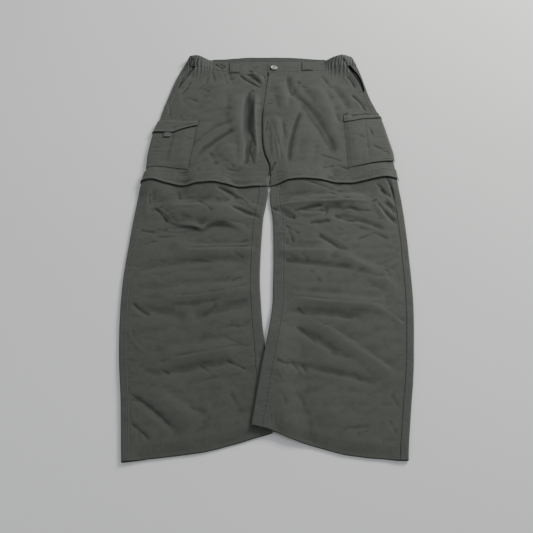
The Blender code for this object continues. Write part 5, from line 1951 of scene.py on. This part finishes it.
        def surface(u: Array, v: Array) -> Place:
            """The loop stands off the band, with its sewn edges drawn in."""
            x = (x0 + self.loop_width * u) * MM
            y = (y0 + (y1 - y0) * v) * MM
            stand = 0.5 * MM * np.sin(math.pi * v) ** 0.7
            folded = 0.35 * MM * (np.exp(-((u - 0.12) / 0.07) ** 2) + np.exp(-((u - 0.88) / 0.07) ** 2))
            return x, y, relief.coarse(x, y) + 1.9 * MM + stand - folded

        sewing = Sewing(f"belt_loop_sewing_{word}")
        v = np.linspace(0.03, 0.97, 24)
        for edge in (0.12, 0.88):
            sewing.row(np.stack(surface(np.full_like(v, edge), v), axis=1))
        u = np.linspace(0.08, 0.92, 12)
        for end in (0.07, 0.93):
            sewing.row(np.stack(surface(u, np.full_like(u, end)), axis=1), TACK)
        ClothPiece(f"belt_loop_cloth_{word}", f"belt_loop_{word}", Patch(even(16, end=0.02), surface),
            even(24, end=0.012), self.loop_cut, [f"waistband_cloth_{word}"], wall=1.2 * MM,
            with_pieces=[sewing.make()]).make()

    def build_fly(self) -> None:
        """Make the fly's zip, its J-shaped stitching, tacks and buttonhole."""
        left, right = self.reliefs[-1], self.reliefs[1]

        def tape(u: Array, v: Array) -> Place:
            """The tape lies under both fronts."""
            y = (350 + 92 * v) * MM
            x = left.plan.raw("left_inner", y) + (u - 0.5) * 20 * MM
            z = np.minimum(left.top(x, y), right.top(x, y)) - CLOTH - 0.7 * MM
            return x, y, np.maximum(z, 2.2 * MM)

        # The fly's tape is darkened all over with painted shade, as it lies under both fronts
        ClothPiece("fly_zip_tape", "fly_zip", Patch(even(10), tape), even(36), self.fly_cut,
            ["hip_back_left", "hip_back_right"], finish=ZIP_WEB, slot=Slot.TAPE, wall=0.8 * MM,
            shade=lambda x, y: np.full_like(x, 0.6)).make()
        sewing = Sewing("fly_sewing")
        lefty, righty = pens = Pen(left), Pen(right)
        for off in (0.0, 5.5):
            sewing.row(righty.through(rows_of(Across, (
                (47 - off, 457), (47 - off, 420), (46 - off, 386), (39 - off, 365 + off * 0.5),
                (25, 352 + off), (5, 348 + off)))))
        for pen in pens:
            top = read(pen.plan.waist_foot, 0.0) - 2 * MM
            for off in (2.2, 7.8):
                sewing.row(pen.down(lambda y: pen.plan.inner(y) + pen.sign * off * MM, top, 352 * MM))
            sewing.row(pen.down(lambda y: pen.plan.inner(y) + pen.sign * (THIGH_ROLL + 3.0 * MM),
                                342 * MM, 150 * MM))
        for pen, *ends in ((lefty, (-25, 350), (-12, 349)), (righty, (-4, 322), (6, 318)),
                           (righty, (3, 350), (14, 352)), (lefty, (-151, 482), (-163, 477)),
                           (righty, (181, 476), (190, 470))):
            sewing.row(pen.through(rows_of(Across, ends)), TACK)
        for pen in pens:
            for off in (3.0 * MM, 8.5 * MM):
                sewing.row(pen.down(lambda y: pen.plan.front_outer(y) - pen.sign * off, 476 * MM, 396 * MM))
        for row in (480.0, 474.0):
            sewing.row(righty.through((Across(0.5, row), Across(26, row)),
                                      lambda x, y: np.full_like(x, 0.45 * MM)), BUTTONHOLE)
        sewing.make()


@dataclass
class Button:
    """Shanked metal button with a raised rim."""

    relief: Relief
    x: float = 18 * MM
    y: float = 477 * MM
    radius: float = 7.5 * MM
    height: float = 2.4 * MM

    def build(self) -> None:
        """Turn the button's profile round its middle and seat it on the band."""
        at = np.array([self.x]), np.array([self.y])
        seat = float(self.relief.coarse(*at)[0]) + 0.8 * MM
        r, h = self.radius, self.height
        profile = ((0.0, 0.05), (0.40, 0.02), (0.46, 0.0), (0.90, 0.0), (0.98, 0.12), (1.0, 0.42),
                   (0.985, 0.74), (0.94, 0.94), (0.88, 1.0), (0.82, 0.96), (0.77, 0.82), (0.72, 0.72),
                   (0.60, 0.70), (0.52, 0.73), (0.46, 0.80), (0.40, 0.84), (0.24, 0.90), (0.10, 0.93),
                   (0.0, 0.935))
        disc = bmesh.new()
        verts = [disc.verts.new((p * r, 0.0, q * h)) for p, q in profile]
        edges = [disc.edges.new(pair) for pair in zip(verts, verts[1:])]
        bmesh.ops.spin(disc, geom=verts + edges, cent=(0, 0, 0), axis=(0, 0, 1), angle=2 * math.pi,
                       steps=72, use_merge=True)
        bmesh.ops.remove_doubles(disc, verts=disc.verts, dist=1e-6)
        bmesh.ops.recalc_face_normals(disc, faces=disc.faces)
        bmesh.ops.translate(disc, vec=(self.x - PLAN_CENTRE[0], self.y - PLAN_CENTRE[1], seat),
                            verts=disc.verts)
        name = "waist_button_metal"
        piece = show(name, freeze(disc, name), BUTTON_METAL.make())
        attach(piece, "root")
        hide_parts("waist_button")
        LOG.info("%s: %d faces", name, len(piece.data.polygons))


@dataclass
class Studio:
    """Pale floor, soft light and the photograph's camera."""

    lens: float = 58.97
    place: Triple = (-0.0025, -1.1662, 1.30)
    tilt: float = 39.5
    key_power: float = 78.0
    fill_power: float = 8.0
    sky: float = 0.50

    def build(self) -> None:
        """Make the floor, the lights and the camera."""
        floor = bmesh.new()
        bmesh.ops.create_grid(floor, x_segments=1, y_segments=1, size=6.0)
        bmesh.ops.translate(floor, vec=(0, 0, -0.0008), verts=floor.verts)
        graph = Graph("pale_floor")
        place = graph.node("TexCoord", {}, {}, "Object")
        cloud = graph.noise(place, (1, 1, 1), size=1.4, detail=2)
        graph.set(Base_Color=graph.mix(cloud, (0.70, 0.70, 0.68), (0.76, 0.76, 0.745)), Roughness=0.9,
                  Specular_IOR_Level=0.2)
        show("floor", freeze(floor, "floor"), graph.material)
        self.lamp("key", (1.65, 1.65, 1.40), 0.9, self.key_power, (1.0, 0.985, 0.96))
        self.lamp("fill", (-1.6, -0.9, 2.2), 2.4, self.fill_power, (0.94, 0.97, 1.0))
        world = bpy.context.scene.world or bpy.data.worlds.new("sky")
        bpy.context.scene.world = world
        world.use_nodes = True
        back = world.node_tree.nodes["Background"]
        back.inputs["Color"].default_value = (0.92, 0.95, 1.0, 1.0)
        back.inputs["Strength"].default_value = self.sky
        self.camera()

    def lamp(self, name: str, place: Triple, size: float, power: float,
             colour: Triple) -> None:
        """Add one square soft light that looks at the middle of the trousers."""
        data = bpy.data.lights.new(name, "AREA")
        data.size, data.energy, data.color = size, power, colour
        lamp = bpy.data.objects.new(name, data)
        lamp.location = place
        lamp.rotation_euler = (-Vector(place)).to_track_quat("-Z", "Y").to_euler()
        bpy.context.scene.collection.objects.link(lamp)

    def camera(self) -> None:
        """Stand the camera where the photograph was taken."""
        data = bpy.data.cameras.new("camera")
        data.lens, data.sensor_width, data.shift_y = self.lens, 36.0, -0.01407
        camera = bpy.data.objects.new("camera", data)
        camera.location = self.place
        camera.rotation_euler = (math.radians(self.tilt), 0.0, 0.0)
        bpy.context.scene.collection.objects.link(camera)
        bpy.context.scene.camera = camera


def main() -> None:
    """Build the scene piece by piece."""
    logging.basicConfig(level=logging.INFO, format="%(message)s")
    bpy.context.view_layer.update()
    Studio().build()
    reliefs = {side.value: Relief(Plan(side)) for side in Side}
    for relief in reliefs.values():
        Hip(relief).build()
        ZipJoin(relief).build()
        Leg(relief).build()
        CargoPocket(relief).build()
    Waist(reliefs).build()
    Button(reliefs[1]).build()


if __name__ == "__main__":
    main()
